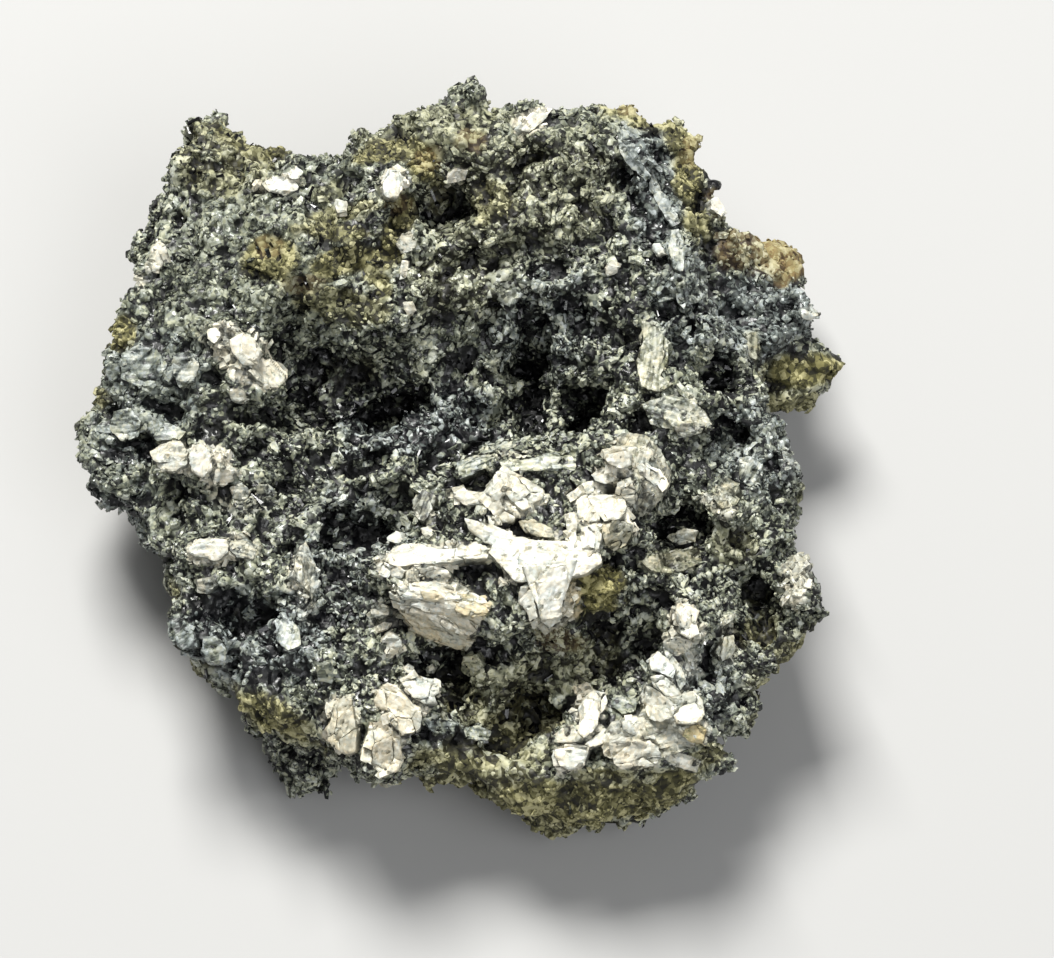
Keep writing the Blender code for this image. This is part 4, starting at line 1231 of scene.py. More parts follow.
def mineral_material(
    name, grain_size, contrast, bump_height, own_tone=False, masks=(), shift=0.0, gloss=None, streaked=False
):
    """A material that mixes the minerals by the piece's masks. With own_tone, each grain's tone
    comes from the piece and the cell pattern only varies it. masks are fixed mask values."""
    material = bpy.data.materials.new(name)
    material.use_nodes = True
    tree = material.node_tree
    shader = tree.nodes["Principled BSDF"]
    mix = add_node(tree, "ShaderNodeGroup", node_tree=mineral_mix)
    tones = add_node(tree, "ShaderNodeGroup", node_tree=tone_group)
    tones.inputs["Grain Size"].default_value = grain_size
    tones.inputs["Contrast"].default_value = contrast
    fixed = dict(masks)
    for socket_name in MASK_INPUTS:
        if socket_name in fixed:
            mix.inputs[socket_name].default_value = fixed[socket_name]
        else:
            join(tree, mask_reader(tree, socket_name.lower()), mix.inputs[socket_name])
    relief = tones.outputs["Height"]
    if streaked:
        streak = streaks(tree)
        terms = ((mask_reader(tree, "white"), 1.0), (specks(tree), -0.65))
        join(tree, sum_of(tree, terms), mix.inputs["White"])
        haze = cloud(tree, HAZE_SIZE, 2.0)
        join(tree, sum_of(tree, ((mask_reader(tree, "cool"), 0.7), (haze, 2.6)), offset=-1.1), mix.inputs["Cool"])
        terms = ((mask_reader(tree, "tone"), 0.3), (tones.outputs["Tone"], 0.7), (streak, 1.2), (haze, -0.4))
        tone = sum_of(tree, terms, offset=-0.38 + shift)
        relief = sum_of(tree, ((tones.outputs["Height"], 0.8), (streak, 0.6)), offset=-0.2)
    elif own_tone:
        tone = sum_of(tree, ((mask_reader(tree, "tone"), 0.55), (tones.outputs["Tone"], 0.75)), offset=-0.15 + shift)
    else:
        tone = sum_of(tree, ((tones.outputs["Tone"], 1.0),), offset=shift)
    join(tree, tone, mix.inputs["Tone"])
    join(tree, tones.outputs["Hue"], mix.inputs["Hue"])
    join(tree, mix.outputs["Color"], shader.inputs["Base Color"])
    if gloss is None:
        join(tree, mix.outputs["Roughness"], shader.inputs["Roughness"])
    else:
        shader.inputs["Roughness"].default_value = gloss
    bump = add_node(tree, "ShaderNodeBump")
    bump.inputs["Strength"].default_value = 1.0
    bump.inputs["Distance"].default_value = bump_height
    join(tree, relief, bump.inputs["Height"])
    join(tree, bump.outputs["Normal"], shader.inputs["Normal"])
    return material


skin_material = mineral_material("granular_ore", SKIN_GRAIN, 1.5, 0.07 * MM, shift=-0.06)
scale_material = mineral_material("grey_scale", 0.12 * MM, 1.5, 0.02 * MM, own_tone=True, masks={"Crack": 0.0, "Dark": 0.0})
lath_material = mineral_material(
    "black_lath", 0.2 * MM, 1.0, 0.004 * MM, own_tone=True,
    masks={"White": 0.0, "Ochre": 0.0, "Rust": 0.0, "Dark": 1.0, "Pale": 0.0, "Crack": 0.0}, shift=-0.1, gloss=0.16,
)
white_material = mineral_material(
    "white_crystal", 0.2 * MM, 1.1, 0.034 * MM, masks={"Rust": 0.0, "Dark": 0.0, "Hollow": 0.0}, shift=0.06,
    gloss=0.42, streaked=True,
)
chip_material = mineral_material(
    "white_chip", 0.14 * MM, 1.0, 0.012 * MM, own_tone=True,
    masks={"Ochre": 0.0, "Rust": 0.0, "Dark": 0.0, "Crack": 0.0}, shift=0.08, gloss=0.4,
)
crust_material = mineral_material(
    "ochre_granule", 0.09 * MM, 1.2, 0.012 * MM, own_tone=True, masks={"White": 0.0, "Crack": 0.0, "Dark": 0.0}
)
print("materials:", [m.name for m in bpy.data.materials])

# %% [markdown]
# ## The body
#
# The body is the skin itself with the granular ore on it. It stands in for the CAD solid.

# %% Body piece
BODY_TRIANGLES = 196000


def thinned(mesh, triangles, keep):
    """A copy of the mesh with about that many triangles, thinned least where keep is 1."""
    obj = link_object("thinned", mesh.copy())
    group = obj.vertex_groups.new(name="thin")
    for step, level in enumerate(np.linspace(0, 1, 6)[1:]):
        low = level - 0.2
        members = np.nonzero((1 - keep > low) & (1 - keep <= level))[0]
        group.add(members.tolist(), level, "REPLACE")
    decimate = obj.modifiers.new("fewer faces", "DECIMATE")
    decimate.use_collapse_triangulate = True
    decimate.vertex_group = "thin"
    decimate.ratio = min(1.0, triangles / (2 * len(mesh.polygons)))
    thin = evaluated_mesh(obj)
    bpy.data.objects.remove(obj)
    thin.vertices.foreach_set("co", lay_on_table(point_array(thin)).ravel())
    return thin


facing = normal_array(skin) @ np.array(VIEW_BACK)
body_mesh = thinned(skin, BODY_TRIANGLES, smooth_step(facing, -0.3, 0.3))
body_mesh.materials.clear()
body_mesh.materials.append(skin_material)
body_mesh.shade_smooth()
body_mesh.name = "ore_body"
body = link_object("ore_body", body_mesh)
print("ore_body:", len(body_mesh.polygons), "triangles;", sorted(a.name for a in body_mesh.attributes))

# %% [markdown]
# ## The blocks
#
# Each outline is first split, as the mineral itself has split, into pieces that are long along
# its grain: the cells round a jittered grid of seeds. Every piece becomes a closed solid. Its lid
# is flat but for a fine roughness, has a height and tilt of its own and drops at the edge, and its
# root is sunk into the ore. The narrow gaps between the pieces stay open and show as dark cracks,
# and the walls in them and the lids' rims are painted darker as well: that is painted shade.

# %% Split an outline into pieces
# Across and along the grain in pixels, how steeply the lids tilt, and how far the pieces part.
PIECE_SIZE = (14.0, 24.0, 0.5)
PIECE_SIZES = {
    "mass": (24.0, 44.0, 0.22),
    "fan": (8.0, 30.0, 0.4, 1.0),
    "arm": (10.0, 30.0, 0.35),
    "bar": (9.0, 34.0, 0.35),
    "mirror": (60.0, 60.0, 0.5),
    "left plate": (26.0, 26.0, 0.4),
    "ridge bar": (12.0, 26.0, 0.4),
    "left slab": (22.0, 36.0, 0.3),
    "shoulder slab": (22.0, 36.0, 0.3),
    "foot bar": (18.0, 34.0, 0.35),
    "crest": (10.0, 15.0, 0.8, 0.7),
    "shelf": (18.0, 30.0, 0.5, 1.0),
    "corner": (16.0, 30.0, 0.5, 0.8),
}
SEED_JITTER = 0.34
SMALLEST_PIECE = 12.0
SPLIT_GAPS = (-1.6, -1.2, -0.9, -0.5, 0.5)
RIM_STEP = 2.8
RIM_UNEVEN = 0.7


def clipped(outline, middle, away):
    """The part of an outline that lies on the near side of a line."""
    depths = (outline - middle) @ away
    kept = []
    for index, depth in enumerate(depths):
        before = depths[index - 1]
        if depth * before < 0:
            kept.append(outline[index - 1] + (outline[index] - outline[index - 1]) * before / (before - depth))
        if depth <= 0:
            kept.append(outline[index])
    return np.array(kept).reshape(-1, 2)


def pieces_of(corners, turn, across, along, lot):
    """The pieces that an outline splits into, across and along its grain."""
    c, s = math.cos(math.radians(turn)), math.sin(math.radians(turn))
    to_grain = np.array(((c / along, s / across), (-s / along, c / across)))
    middle = corners.mean(axis=0)
    outline = (corners - middle) @ to_grain
    low, high = np.floor(outline.min(axis=0)) - 1, np.ceil(outline.max(axis=0)) + 2
    seeds = [(u + 0.5 * (v % 2), v) for u in np.arange(low[0], high[0]) for v in np.arange(low[1], high[1])]
    seeds = np.array(seeds) + lot.uniform(-SEED_JITTER, SEED_JITTER, (len(seeds), 2))
    pieces = []
    for seed in seeds:
        piece = outline
        for other in seeds[np.abs(seeds - seed).max(axis=1) < 2.5]:
            if len(piece) > 2 and (other != seed).any():
                piece = clipped(piece, (seed + other) / 2, other - seed)
        if len(piece) > 2:
            piece = piece @ np.linalg.inv(to_grain) + middle
            x, y = piece.T
            if abs(x @ np.roll(y, 1) - y @ np.roll(x, 1)) / 2 > SMALLEST_PIECE:
                pieces.append(piece)
    return pieces


def ragged_rim(outline, lot, gap):
    """The outline pulled in by the gap or so and made uneven, with more points along it."""
    rim = []
    for start, end in zip(outline, np.roll(outline, -1, axis=0)):
        count = max(1, round(np.hypot(*(end - start)) / RIM_STEP))
        rim += [start + (end - start) * step / count for step in range(count)]
    rim = np.array(rim)
    pull = rim.mean(axis=0) - rim
    pull /= np.linalg.norm(pull, axis=1, keepdims=True) + 1e-6
    return rim + pull * (gap + lot.choice(SPLIT_GAPS) + lot.uniform(-RIM_UNEVEN, RIM_UNEVEN, (len(rim), 1)))


print("pieces of the largest block:", len(pieces_of(corners_of(BLOCKS["corner, slab"][0]), 5, *PIECE_SIZE[:2], np.random.default_rng(0))))

# %% A solid for each piece
BLOCK_GRID = 7.0
BLOCK_ROOT = 0.45 * MM
BLOCK_FLATNESS = 0.6
BLOCK_REACH = 0.8 * MM
RISE_SHARE = 0.75
LID_GRID = 1.6
LID_FOLLOW = 0.55
LID_STAND = 0.20 * MM
LID_SHOW = 0.02 * MM
PIECE_LIFT = 0.06 * MM
BEVEL, BEVEL_WIDTH = 0.03 * MM, 1.8
RIDGE_WIDTH, RIDGE_LENGTH, RIDGE_HEIGHT = 0.13 * MM, 0.9 * MM, 0.026 * MM
ROUGH_SIZE, ROUGH_HEIGHT = 0.10 * MM, 0.024 * MM
PIT_SIZE, PIT_DEPTH = 0.20 * MM, 0.10 * MM
FAR_START = 1.5 * MM
FAR_RISE = 0.1 * MM
FAR_CORNERS = 7


def picture_ray(x, y):
    """The ray from the eye through a picture position."""
    return EYE, sight_line(x, y)


def side_ray(middle, normal):
    """Rays that run straight into the stone round a place on its side, as a picture's do."""
    right = normal.orthogonal().normalized()
    up = normal.cross(right)

    def ray(x, y):
        return middle + normal * FAR_START + (right * x + up * y) * MM / PIXELS_PER_MM, -normal

    return ray


def grid_inside(outline, step, margin):
    """The places of an even grid that lie inside an outline by at least the margin."""
    low, high = outline.min(axis=0), outline.max(axis=0)
    grid = [(x, y) for x in np.arange(low[0], high[0], step) for y in np.arange(low[1], high[1], step)]
    grid = np.array(grid).reshape(-1, 2)
    return grid[inside_by(outline, *grid.T) > margin]


def plane_under(corners, ray):
    """How far the stone lies along the rays, as a plane fitted under an outline, and its facing."""
    places = np.vstack((corners, grid_inside(corners, BLOCK_GRID, 0.4 * BLOCK_GRID)))
    hits = [surface.ray_cast(*ray(x, y)) for x, y in places]
    reaches = np.array([np.nan if hit[3] is None else hit[3] for hit in hits])
    reaches[np.abs(reaches - np.nanmedian(reaches)) > BLOCK_REACH] = np.nan
    known = ~np.isnan(reaches)
    table = np.column_stack((places, np.ones(len(places))))
    fit = np.linalg.lstsq(table[known], reaches[known], rcond=None)[0]
    normal = sum((hits[index][1] for index in np.nonzero(known)[0]), Vector()).normalized()
    return fit, (normal - ray(*corners[0])[1]).normalized()


def roughness_at(lie):
    """How far a point of a lid moves out, by where it lies along, across and into the grain."""
    along, across, deep = lie
    ridge = noise.noise(Vector((along / RIDGE_LENGTH, across / RIDGE_WIDTH, deep / RIDGE_WIDTH)))
    pit = min(max(noise.noise(lie / PIT_SIZE + Vector((5, 5, 5))) - 0.42, 0) * 6, 1)
    return RIDGE_HEIGHT * ridge + ROUGH_HEIGHT * noise.noise(lie / ROUGH_SIZE) - PIT_DEPTH * pit


def add_block(form, marks, corners, rise, look, run, size, ray, seed):
    """Adds a block's pieces to the form and, for each point, its marks: whiteness, stain, tone,
    crack, which is painted shade, and where it lies along, across and into the grain."""
    lot = np.random.default_rng(seed)
    turn, way_along = run
    fit, facing = plane_under(corners, ray)
    way_across = facing.cross(way_along).normalized()
    for outline in pieces_of(corners, turn, *size[:2], lot):
        rim = ragged_rim(outline, lot, sum(size[3:]))
        middle = rim.mean(axis=0)
        flat, _, triangles, *_ = geometry.delaunay_2d_cdt(
            [Vector(place) for place in (*rim, *grid_inside(rim, LID_GRID, 0.6 * LID_GRID))],
            [], [list(range(len(rim)))], 1, 1e-4,
        )
        flat = np.array(flat)
        inside = np.maximum(inside_by(rim, *flat.T), 0)
        level = fit @ (*middle, 1.0)
        reach = surface.ray_cast(*ray(*middle))[3] or level
        level_off = np.clip(reach - level, -BLOCK_REACH, BLOCK_REACH) * (1 - BLOCK_FLATNESS)
        slope = lot.uniform(-size[2], size[2], 2) * MM / PIXELS_PER_MM
        heights = rise + lot.uniform(-PIECE_LIFT, PIECE_LIFT) + (flat - middle) @ slope
        heights = heights - BEVEL * (1 - smooth_step(inside, 0, BEVEL_WIDTH))
        reaches = level + level_off + (flat - middle) @ fit[:2] * LID_FOLLOW - heights
        stone = np.array([surface.ray_cast(*ray(x, y))[3] or level for x, y in flat])
        stone = np.clip(stone, level - BLOCK_REACH, level + BLOCK_REACH)
        reaches = np.clip(reaches, stone - rise - LID_STAND, stone - LID_SHOW)
        tone, fade = lot.uniform(0, 1), lot.uniform(-0.18, 0.05)
        lid, root = [], []
        for (x, y), reach, depth in zip(flat, reaches, inside):
            start, way = ray(x, y)
            place = start + way * reach
            lie = Vector((way_along.dot(place), way_across.dot(place), facing.dot(place) + seed * MM))
            lid.append(form.verts.new(place + facing * roughness_at(lie)))
            # The fourth mark, crack, is painted shade: a little near the lid's rim, and fully, with half the whiteness,
            # down the walls that show in the gaps.
            marks.append((look[0] + fade, look[1], tone, 0.15 * (1 - min(depth / BEVEL_WIDTH, 1)), *(lie / MM)))
        for vertex in lid:
            root.append(form.verts.new(vertex.co - facing * (BLOCK_ROOT + rise)))
            marks.append((look[0] * 0.5, look[1], tone, 1.0, 0.0, 0.0, 0.0))
        sides = {side for a, b, c in triangles for side in ((a, b), (b, c), (c, a))}
        for a, b, c in triangles:
            form.faces.new((lid[a], lid[b], lid[c]))
            form.faces.new((root[c], root[b], root[a]))
        for a, b in sides:
            if (b, a) not in sides:
                form.faces.new((lid[b], lid[a], root[a], root[b]))


def uneven_ring(radius, seed):
    """The corners of an uneven outline round a middle, for the blocks on the sides."""
    lot = np.random.default_rng(seed)
    turns = (np.arange(FAR_CORNERS) + lot.uniform(-0.3, 0.3, FAR_CORNERS)) * math.tau / FAR_CORNERS
    reach = radius * lot.uniform(0.7, 1.1, FAR_CORNERS)
    return np.column_stack((reach * np.cos(turns), reach * np.sin(turns) * 0.75))


block_form, block_marks = bmesh.new(), []
for seed, (name, (text, rise, block_whiteness, block_stained, turn)) in enumerate(BLOCKS.items()):
    way_along = VIEW_RIGHT * math.cos(math.radians(turn)) + VIEW_UP * math.sin(math.radians(turn))
    size = PIECE_SIZES.get(name.split(",")[0], PIECE_SIZE)
    add_block(
        block_form, block_marks, corners_of(text), rise * RISE_SHARE * MM, (block_whiteness, block_stained),
        (turn, way_along), size, picture_ray, seed,
    )
for seed, (x, y, z, radius, block_whiteness, block_stained) in enumerate(FAR_BLOCKS.values(), len(BLOCKS)):
    middle, normal, _, _ = surface.find_nearest(Vector((x, y, z)) * MM)
    ring = uneven_ring(radius * PIXELS_PER_MM, seed)
    add_block(
        block_form, block_marks, ring, FAR_RISE, (block_whiteness, block_stained),
        (0, normal.orthogonal().normalized()), PIECE_SIZE, side_ray(middle, normal), seed,
    )
bmesh.ops.recalc_face_normals(block_form, faces=block_form.faces)
bmesh.ops.triangulate(block_form, faces=[face for face in block_form.faces if len(face.verts) > 3])
block_mesh = bpy.data.meshes.new("pale_blocks")
block_form.to_mesh(block_mesh)
block_form.free()
block_mesh.vertices.foreach_set("co", lay_on_table(point_array(block_mesh)).ravel())
print("blocks:", len(block_mesh.vertices), "points")

# %% Give the blocks their masks
SHARP_EDGE = math.radians(28)
block_spots = spots_of(block_mesh)
block_marks = np.array(block_marks)
BLOCK_MASKS = {
    "white": np.clip(block_marks[:, 0], 0, 1),
    "ochre": block_marks[:, 1],
    "tone": block_marks[:, 2],
    # crack is painted shade on the blocks' walls and rims; cool and pale are partly painted sheen and light, as on the
    # skin.
    "crack": block_marks[:, 3],
    "cool": seen_mask(block_spots, COOL_AND_SHEEN_PATCHES),
    "pale": seen_mask(block_spots, PALE_AND_LIT_PATCHES),
}
for name, values in BLOCK_MASKS.items():
    store(block_mesh, name, values)
lie_attribute = block_mesh.attributes.new("lie", "FLOAT_VECTOR", "POINT")
lie_attribute.data.foreach_set("vector", block_marks[:, 4:].astype(np.float32).ravel())
block_mesh.materials.append(white_material)
block_mesh.shade_smooth()
block_mesh.set_sharp_from_angle(angle=SHARP_EDGE)
pale_blocks = link_object("pale_blocks", block_mesh)
print("pale_blocks:", len(block_mesh.polygons), "triangles")

# %% [markdown]
# ## Scales, laths, chips and granules
#
# The loose grains repeat thousands of times, so Geometry Nodes scatter them. One tree serves
# every kind: it sprinkles points on the body where a mask allows, puts a small solid on each,
# turns, tips and stretches it at random, and then jolts its corners with noise, so that no two
# are alike. Only the solid and the numbers differ: a flat five-sided scale, a long lath, a block
# or a round granule.

# %% The scatter tree
SCATTER_INPUTS = {
    "Body": "Geometry",
    "Where": "String",
    "Spacing": "Float",
    "Density": "Float",
    "Smallest": "Float",
    "Largest": "Float",
    "Long": "Float",
    "Thin": "Float",
    "Tip": "Float",
    "Run": "Float",
    "Sink": "Float",
    "Jolt": "Float",
    "Seed": "Int",
    "Finish": "Material",
}


def scale_solid(tree):
    """A flat five-sided scale, one unit across."""
    cone = add_node(tree, "GeometryNodeMeshCone", fill_type="NGON")
    cone.inputs["Vertices"].default_value = 5
    cone.inputs["Radius Top"].default_value = 0.36
    cone.inputs["Radius Bottom"].default_value = 0.5
    cone.inputs["Depth"].default_value = 1.0
    return cone.outputs["Mesh"], -0.5


def block_solid(tree):
    """A plain block, one unit each way."""
    cube = add_node(tree, "GeometryNodeMeshCube")
    return cube.outputs["Mesh"], 0.0


def granule_solid(tree):
    """A round granule, one unit across."""
    ball = add_node(tree, "GeometryNodeMeshIcoSphere")
    ball.inputs["Radius"].default_value = 0.5
    ball.inputs["Subdivisions"].default_value = 1
    return ball.outputs["Mesh"], 0.0


def random_number(tree, low, high, seed):
    """A different number for each grain, between two numbers or sockets."""
    node = add_node(tree, "FunctionNodeRandomValue", data_type="FLOAT")
    for value, socket in ((low, node.inputs[2]), (high, node.inputs[3])):
        if isinstance(value, (int, float)):
            socket.default_value = value
        else:
            join(tree, value, socket)
    join(tree, seed, node.inputs["Seed"])
    return node.outputs[1]


def arithmetic(tree, operation, first, second, third=None):
    """One sum on numbers or sockets."""
    node = add_node(tree, "ShaderNodeMath", operation=operation)
    for value, socket in zip((first, second, third), node.inputs):
        if value is None:
            continue
        if isinstance(value, (int, float)):
            socket.default_value = value
        else:
            join(tree, value, socket)
    return node.outputs[0]


def vector_of(tree, *parts):
    """A vector from three numbers or sockets."""
    node = add_node(tree, "ShaderNodeCombineXYZ")
    for value, socket in zip(parts, node.inputs):
        if isinstance(value, (int, float)):
            socket.default_value = value
        else:
            join(tree, value, socket)
    return node.outputs[0]


def scatter_tree(name, solid):
    """The tree that sprinkles one kind of grain over the body."""
    tree = bpy.data.node_groups.new(name, "GeometryNodeTree")
    for socket_name, kind in SCATTER_INPUTS.items():
        tree.interface.new_socket(socket_name, in_out="INPUT", socket_type=f"NodeSocket{kind}")
    tree.interface.new_socket("Grains", in_out="OUTPUT", socket_type="NodeSocketGeometry")
    given = add_node(tree, "NodeGroupInput").outputs
    result = add_node(tree, "NodeGroupOutput").inputs["Grains"]

    where = add_node(tree, "GeometryNodeInputNamedAttribute", data_type="FLOAT")
    join(tree, given["Where"], where.inputs["Name"])
    sprinkle = add_node(tree, "GeometryNodeDistributePointsOnFaces", distribute_method="POISSON")
    join(tree, given["Body"], sprinkle.inputs["Mesh"])
    join(tree, given["Spacing"], sprinkle.inputs["Distance Min"])
    join(tree, given["Density"], sprinkle.inputs["Density Max"])
    join(tree, where.outputs["Attribute"], sprinkle.inputs["Density Factor"])
    join(tree, given["Seed"], sprinkle.inputs["Seed"])

    seeds = [arithmetic(tree, "ADD", given["Seed"], step) for step in range(1, 9)]
    run = add_node(tree, "GeometryNodeInputNamedAttribute", data_type="FLOAT_VECTOR")
    run.inputs["Name"].default_value = "run"
    aligned = add_node(tree, "FunctionNodeAlignRotationToVector", axis="X", pivot_axis="Z")
    join(tree, sprinkle.outputs["Rotation"], aligned.inputs["Rotation"])
    join(tree, run.outputs["Attribute"], aligned.inputs["Vector"])
    join(tree, given["Run"], aligned.inputs["Factor"])

    shape, base = solid(tree)
    put = add_node(tree, "GeometryNodeInstanceOnPoints")
    join(tree, sprinkle.outputs["Points"], put.inputs["Points"])
    join(tree, shape, put.inputs["Instance"])
    join(tree, aligned.outputs["Rotation"], put.inputs["Rotation"])
    size = random_number(tree, given["Smallest"], given["Largest"], seeds[0])
    length = arithmetic(tree, "MULTIPLY", size, random_number(tree, 1.0, given["Long"], seeds[1]))
    width = arithmetic(tree, "MULTIPLY", size, random_number(tree, 0.7, 1.0, seeds[2]))
    thickness = arithmetic(tree, "MULTIPLY", size, given["Thin"])
    join(tree, vector_of(tree, length, width, thickness), put.inputs["Scale"])

    free_turn = arithmetic(tree, "SUBTRACT", 1.0, given["Run"])
    half_turn = arithmetic(tree, "MULTIPLY_ADD", free_turn, math.pi - 0.3, 0.3)
    spin = random_number(tree, arithmetic(tree, "MULTIPLY", half_turn, -1.0), half_turn, seeds[3])
    tip_down = arithmetic(tree, "MULTIPLY", given["Tip"], -1.0)
    tips = [random_number(tree, tip_down, given["Tip"], seed) for seed in (seeds[4], seeds[5])]
    turned = add_node(tree, "GeometryNodeRotateInstances")
    join(tree, put.outputs["Instances"], turned.inputs["Instances"])
    join(tree, vector_of(tree, *tips, spin), turned.inputs["Rotation"])
    lowered = add_node(tree, "GeometryNodeTranslateInstances")
    join(tree, turned.outputs["Instances"], lowered.inputs["Instances"])
    drop = arithmetic(tree, "MULTIPLY", arithmetic(tree, "MULTIPLY", thickness, given["Sink"]), -1.0)
    join(tree, vector_of(tree, 0.0, 0.0, drop), lowered.inputs["Translation"])

    toned = add_node(tree, "GeometryNodeStoreNamedAttribute", data_type="FLOAT", domain="INSTANCE")
    toned.inputs["Name"].default_value = "tone"
    join(tree, lowered.outputs["Instances"], toned.inputs["Geometry"])
    join(tree, random_number(tree, 0.0, 1.0, seeds[6]), toned.inputs["Value"])

    real = add_node(tree, "GeometryNodeRealizeInstances")
    join(tree, toned.outputs["Geometry"], real.inputs["Geometry"])
    rattle = add_node(tree, "ShaderNodeTexNoise", noise_dimensions="3D")
    rattle.inputs["Scale"].default_value = 9000.0
    rattle.inputs["Detail"].default_value = 0.0
    middle = add_node(tree, "ShaderNodeVectorMath", operation="SUBTRACT")
    join(tree, rattle.outputs["Color"], middle.inputs[0])
    middle.inputs[1].default_value = (0.5, 0.5, 0.5)
    jolt = add_node(tree, "ShaderNodeVectorMath", operation="SCALE")
    join(tree, middle.outputs[0], jolt.inputs[0])
    join(tree, given["Jolt"], jolt.inputs["Scale"])
    moved = add_node(tree, "GeometryNodeSetPosition")
    join(tree, real.outputs["Geometry"], moved.inputs["Geometry"])
    join(tree, jolt.outputs[0], moved.inputs["Offset"])
    finish = add_node(tree, "GeometryNodeSetMaterial")
    join(tree, moved.outputs["Geometry"], finish.inputs["Geometry"])
    join(tree, given["Finish"], finish.inputs["Material"])
    join(tree, finish.outputs["Geometry"], result)
    return tree


TREES = {
    "scale": scatter_tree("scatter scales", scale_solid),
    "block": scatter_tree("scatter blocks", block_solid),
    "granule": scatter_tree("scatter granules", granule_solid),
}
print("scatter tree:", len(TREES["scale"].nodes), "nodes")

# %% Grow one kind of grain
KEPT_MASKS = (*MASKS, "tone")


def grown(name, solid, where, finish, **numbers):
    """A piece made of all the grains that the tree sprinkles on the body."""
    store(skin, "grow_" + name, np.clip(where, 0, 1))
    obj = link_object(name, skin.copy())
    modifier = obj.modifiers.new("scatter", "NODES")
    modifier.node_group = TREES[solid]
    sockets = {item.name: item.identifier for item in TREES[solid].interface.items_tree}
    for socket_name, value in {"Where": "grow_" + name, "Finish": finish, **numbers}.items():
        modifier[sockets[socket_name]] = value
    mesh = evaluated_mesh(obj)
    bpy.data.objects.remove(obj)
    mesh.name = name
    mesh.vertices.foreach_set("co", lay_on_table(point_array(mesh)).ravel())
    mesh.shade_flat()
    for attribute_name in [a.name for a in mesh.attributes if a.name.startswith("grow_") or a.name == "run"]:
        mesh.attributes.remove(mesh.attributes[attribute_name])
    piece = link_object(name, mesh)
    print(f"{name}: {sum(len(face.vertices) - 2 for face in mesh.polygons)} triangles")
    return piece


CLUSTER_SIZE = 0.75 * MM
cluster = smooth_step(np.array([noise.noise(Vector(p) / CLUSTER_SIZE + Vector((9, 9, 9))) for p in points]), -0.35, 0.25)
above_table = smooth_step(points[:, 2] / MM, 0.25, 0.9)
hollow, rust, ochre = MASKS["hollow"], MASKS["rust"], MASKS["ochre"]
stands_out = (1 - hollow) * (1 - 0.6 * MASKS["crack"])
bare = (1 - deep_inside) * above_table
# Pale scales thin out in the dark patches, which keeps those dark: partly darker ore, partly painted shade.
shown_ore = (1 - 0.75 * white) * (1 - 0.8 * ochre) * (1 - 0.85 * rust) * (1 - 0.88 * dark) * (1 - 0.4 * calm) * bare
pieces = {}
pieces["grey_scales"] = grown(
    "grey_scales", "scale", shown_ore * stands_out * (0.25 + 0.75 * cluster), scale_material,
    Spacing=0.19 * MM, Density=3.4e7, Smallest=0.13 * MM, Largest=0.32 * MM, Long=2.0, Thin=0.30, Tip=0.6,
    Run=0.75, Sink=0.05, Jolt=0.10 * MM, Seed=3,
)
pieces["fine_scales"] = grown(
    "fine_scales", "scale", shown_ore * (0.15 + 0.85 * stands_out) * (0.35 + 0.65 * cluster), scale_material,
    Spacing=0.12 * MM, Density=6.0e7, Smallest=0.06 * MM, Largest=0.16 * MM, Long=2.0, Thin=0.42, Tip=0.75,
    Run=0.6, Sink=0.0, Jolt=0.07 * MM, Seed=17,
)
# Black laths grow thickest in the dark patches and hollows: partly the ore's own near-black laths, partly dark grains
# set where the stone lies in shade, which is painted shade.
pieces["black_laths"] = grown(
    "black_laths", "block", (0.02 + 0.98 * np.maximum(dark, 0.5 * hollow)) * (1 - white) * (1 - calm) * bare, lath_material,
    Spacing=0.15 * MM, Density=3e7, Smallest=0.05 * MM, Largest=0.11 * MM, Long=4.5, Thin=0.6, Tip=0.7,
    Run=0.0, Sink=-0.2, Jolt=0.05 * MM, Seed=29,
)
pieces["white_blades"] = grown(
    "white_blades", "block", smooth_step(white, 0.3, 0.7) * (1 - dark) * bare * 0.5, chip_material,
    Spacing=0.2 * MM, Density=1.6e7, Smallest=0.07 * MM, Largest=0.15 * MM, Long=3.0, Thin=0.8, Tip=0.3,
    Run=0.9, Sink=0.25, Jolt=0.06 * MM, Seed=41,
)
pieces["white_chips"] = grown(
    "white_chips", "block", smooth_step(white, 0.2, 0.6) * bare * 0.6, chip_material,
    Spacing=0.2 * MM, Density=1.6e7, Smallest=0.08 * MM, Largest=0.26 * MM, Long=1.5, Thin=0.7, Tip=0.6,
    Run=0.3, Sink=0.2, Jolt=0.12 * MM, Seed=53,
)
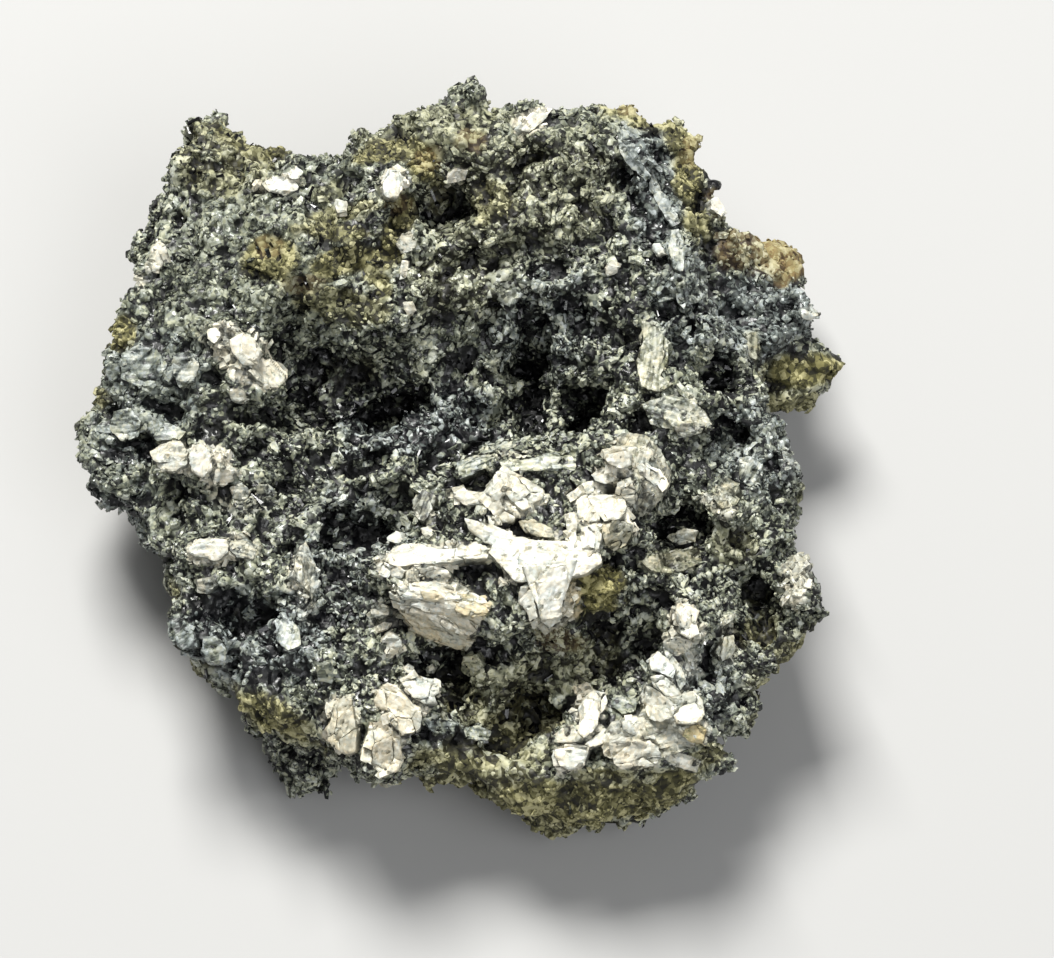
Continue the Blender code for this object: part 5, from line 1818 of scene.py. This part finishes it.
pieces["ochre_granules"] = grown(
    "ochre_granules", "granule", np.maximum(ochre, rust) * (1 - white) * (1 - dark) * (1 - 0.7 * calm) * bare, crust_material,
    Spacing=0.14 * MM, Density=3e7, Smallest=0.07 * MM, Largest=0.2 * MM, Long=1.3, Thin=0.8, Tip=0.5,
    Run=0.0, Sink=0.1, Jolt=0.06 * MM, Seed=67,
)

# %% [markdown]
# ## The studio
#
# The stone lies on a plain pale floor. A broad soft light hangs behind it and above, a little
# to the left, so that the near edges fall into shade as they do on the real piece, and a pale
# surround fills the shadows.

# %% Floor and lights
FLOOR_SIDE = 1.2
form = bmesh.new()
bmesh.ops.create_grid(form, x_segments=1, y_segments=1, size=FLOOR_SIDE / 2)
floor_mesh = bpy.data.meshes.new("floor")
form.to_mesh(floor_mesh)
form.free()
floor = link_object("floor", floor_mesh)
floor_material = bpy.data.materials.new("pale_floor")
floor_material.use_nodes = True
floor_shader = floor_material.node_tree.nodes["Principled BSDF"]
floor_shader.inputs["Base Color"].default_value = (0.42, 0.42, 0.415, 1.0)
floor_shader.inputs["Roughness"].default_value = 0.9
floor_mesh.materials.append(floor_material)


def add_light(name, place, side, power, colour=(1.0, 1.0, 1.0)):
    """A square soft light that faces the stone."""
    data = bpy.data.lights.new(name, "AREA")
    data.shape = "SQUARE"
    data.size = side
    data.energy = power
    data.color = colour
    light = bpy.data.objects.new(name, data)
    bpy.context.scene.collection.objects.link(light)
    light.location = place
    light.rotation_euler = (AIM - Vector(place)).to_track_quat("-Z", "Y").to_euler()
    return light


add_light("key", (-0.05, 0.15, 0.26), 0.12, 1.75, (1.0, 0.99, 0.96))
add_light("fill", (0.12, -0.16, 0.26), 0.22, 0.5, (0.97, 0.98, 1.0))
surround = bpy.data.worlds.new("surround")
surround.use_nodes = True
surround.node_tree.nodes["Background"].inputs["Color"].default_value = (0.90, 0.91, 0.92, 1.0)
surround.node_tree.nodes["Background"].inputs["Strength"].default_value = 0.19
bpy.context.scene.world = surround
bpy.context.scene.view_settings.view_transform = "Standard"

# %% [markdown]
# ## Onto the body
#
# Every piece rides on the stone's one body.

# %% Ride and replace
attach(body, "root")
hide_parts("stone")
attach(pale_blocks, "root")
for name, piece in pieces.items():
    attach(piece, "root")
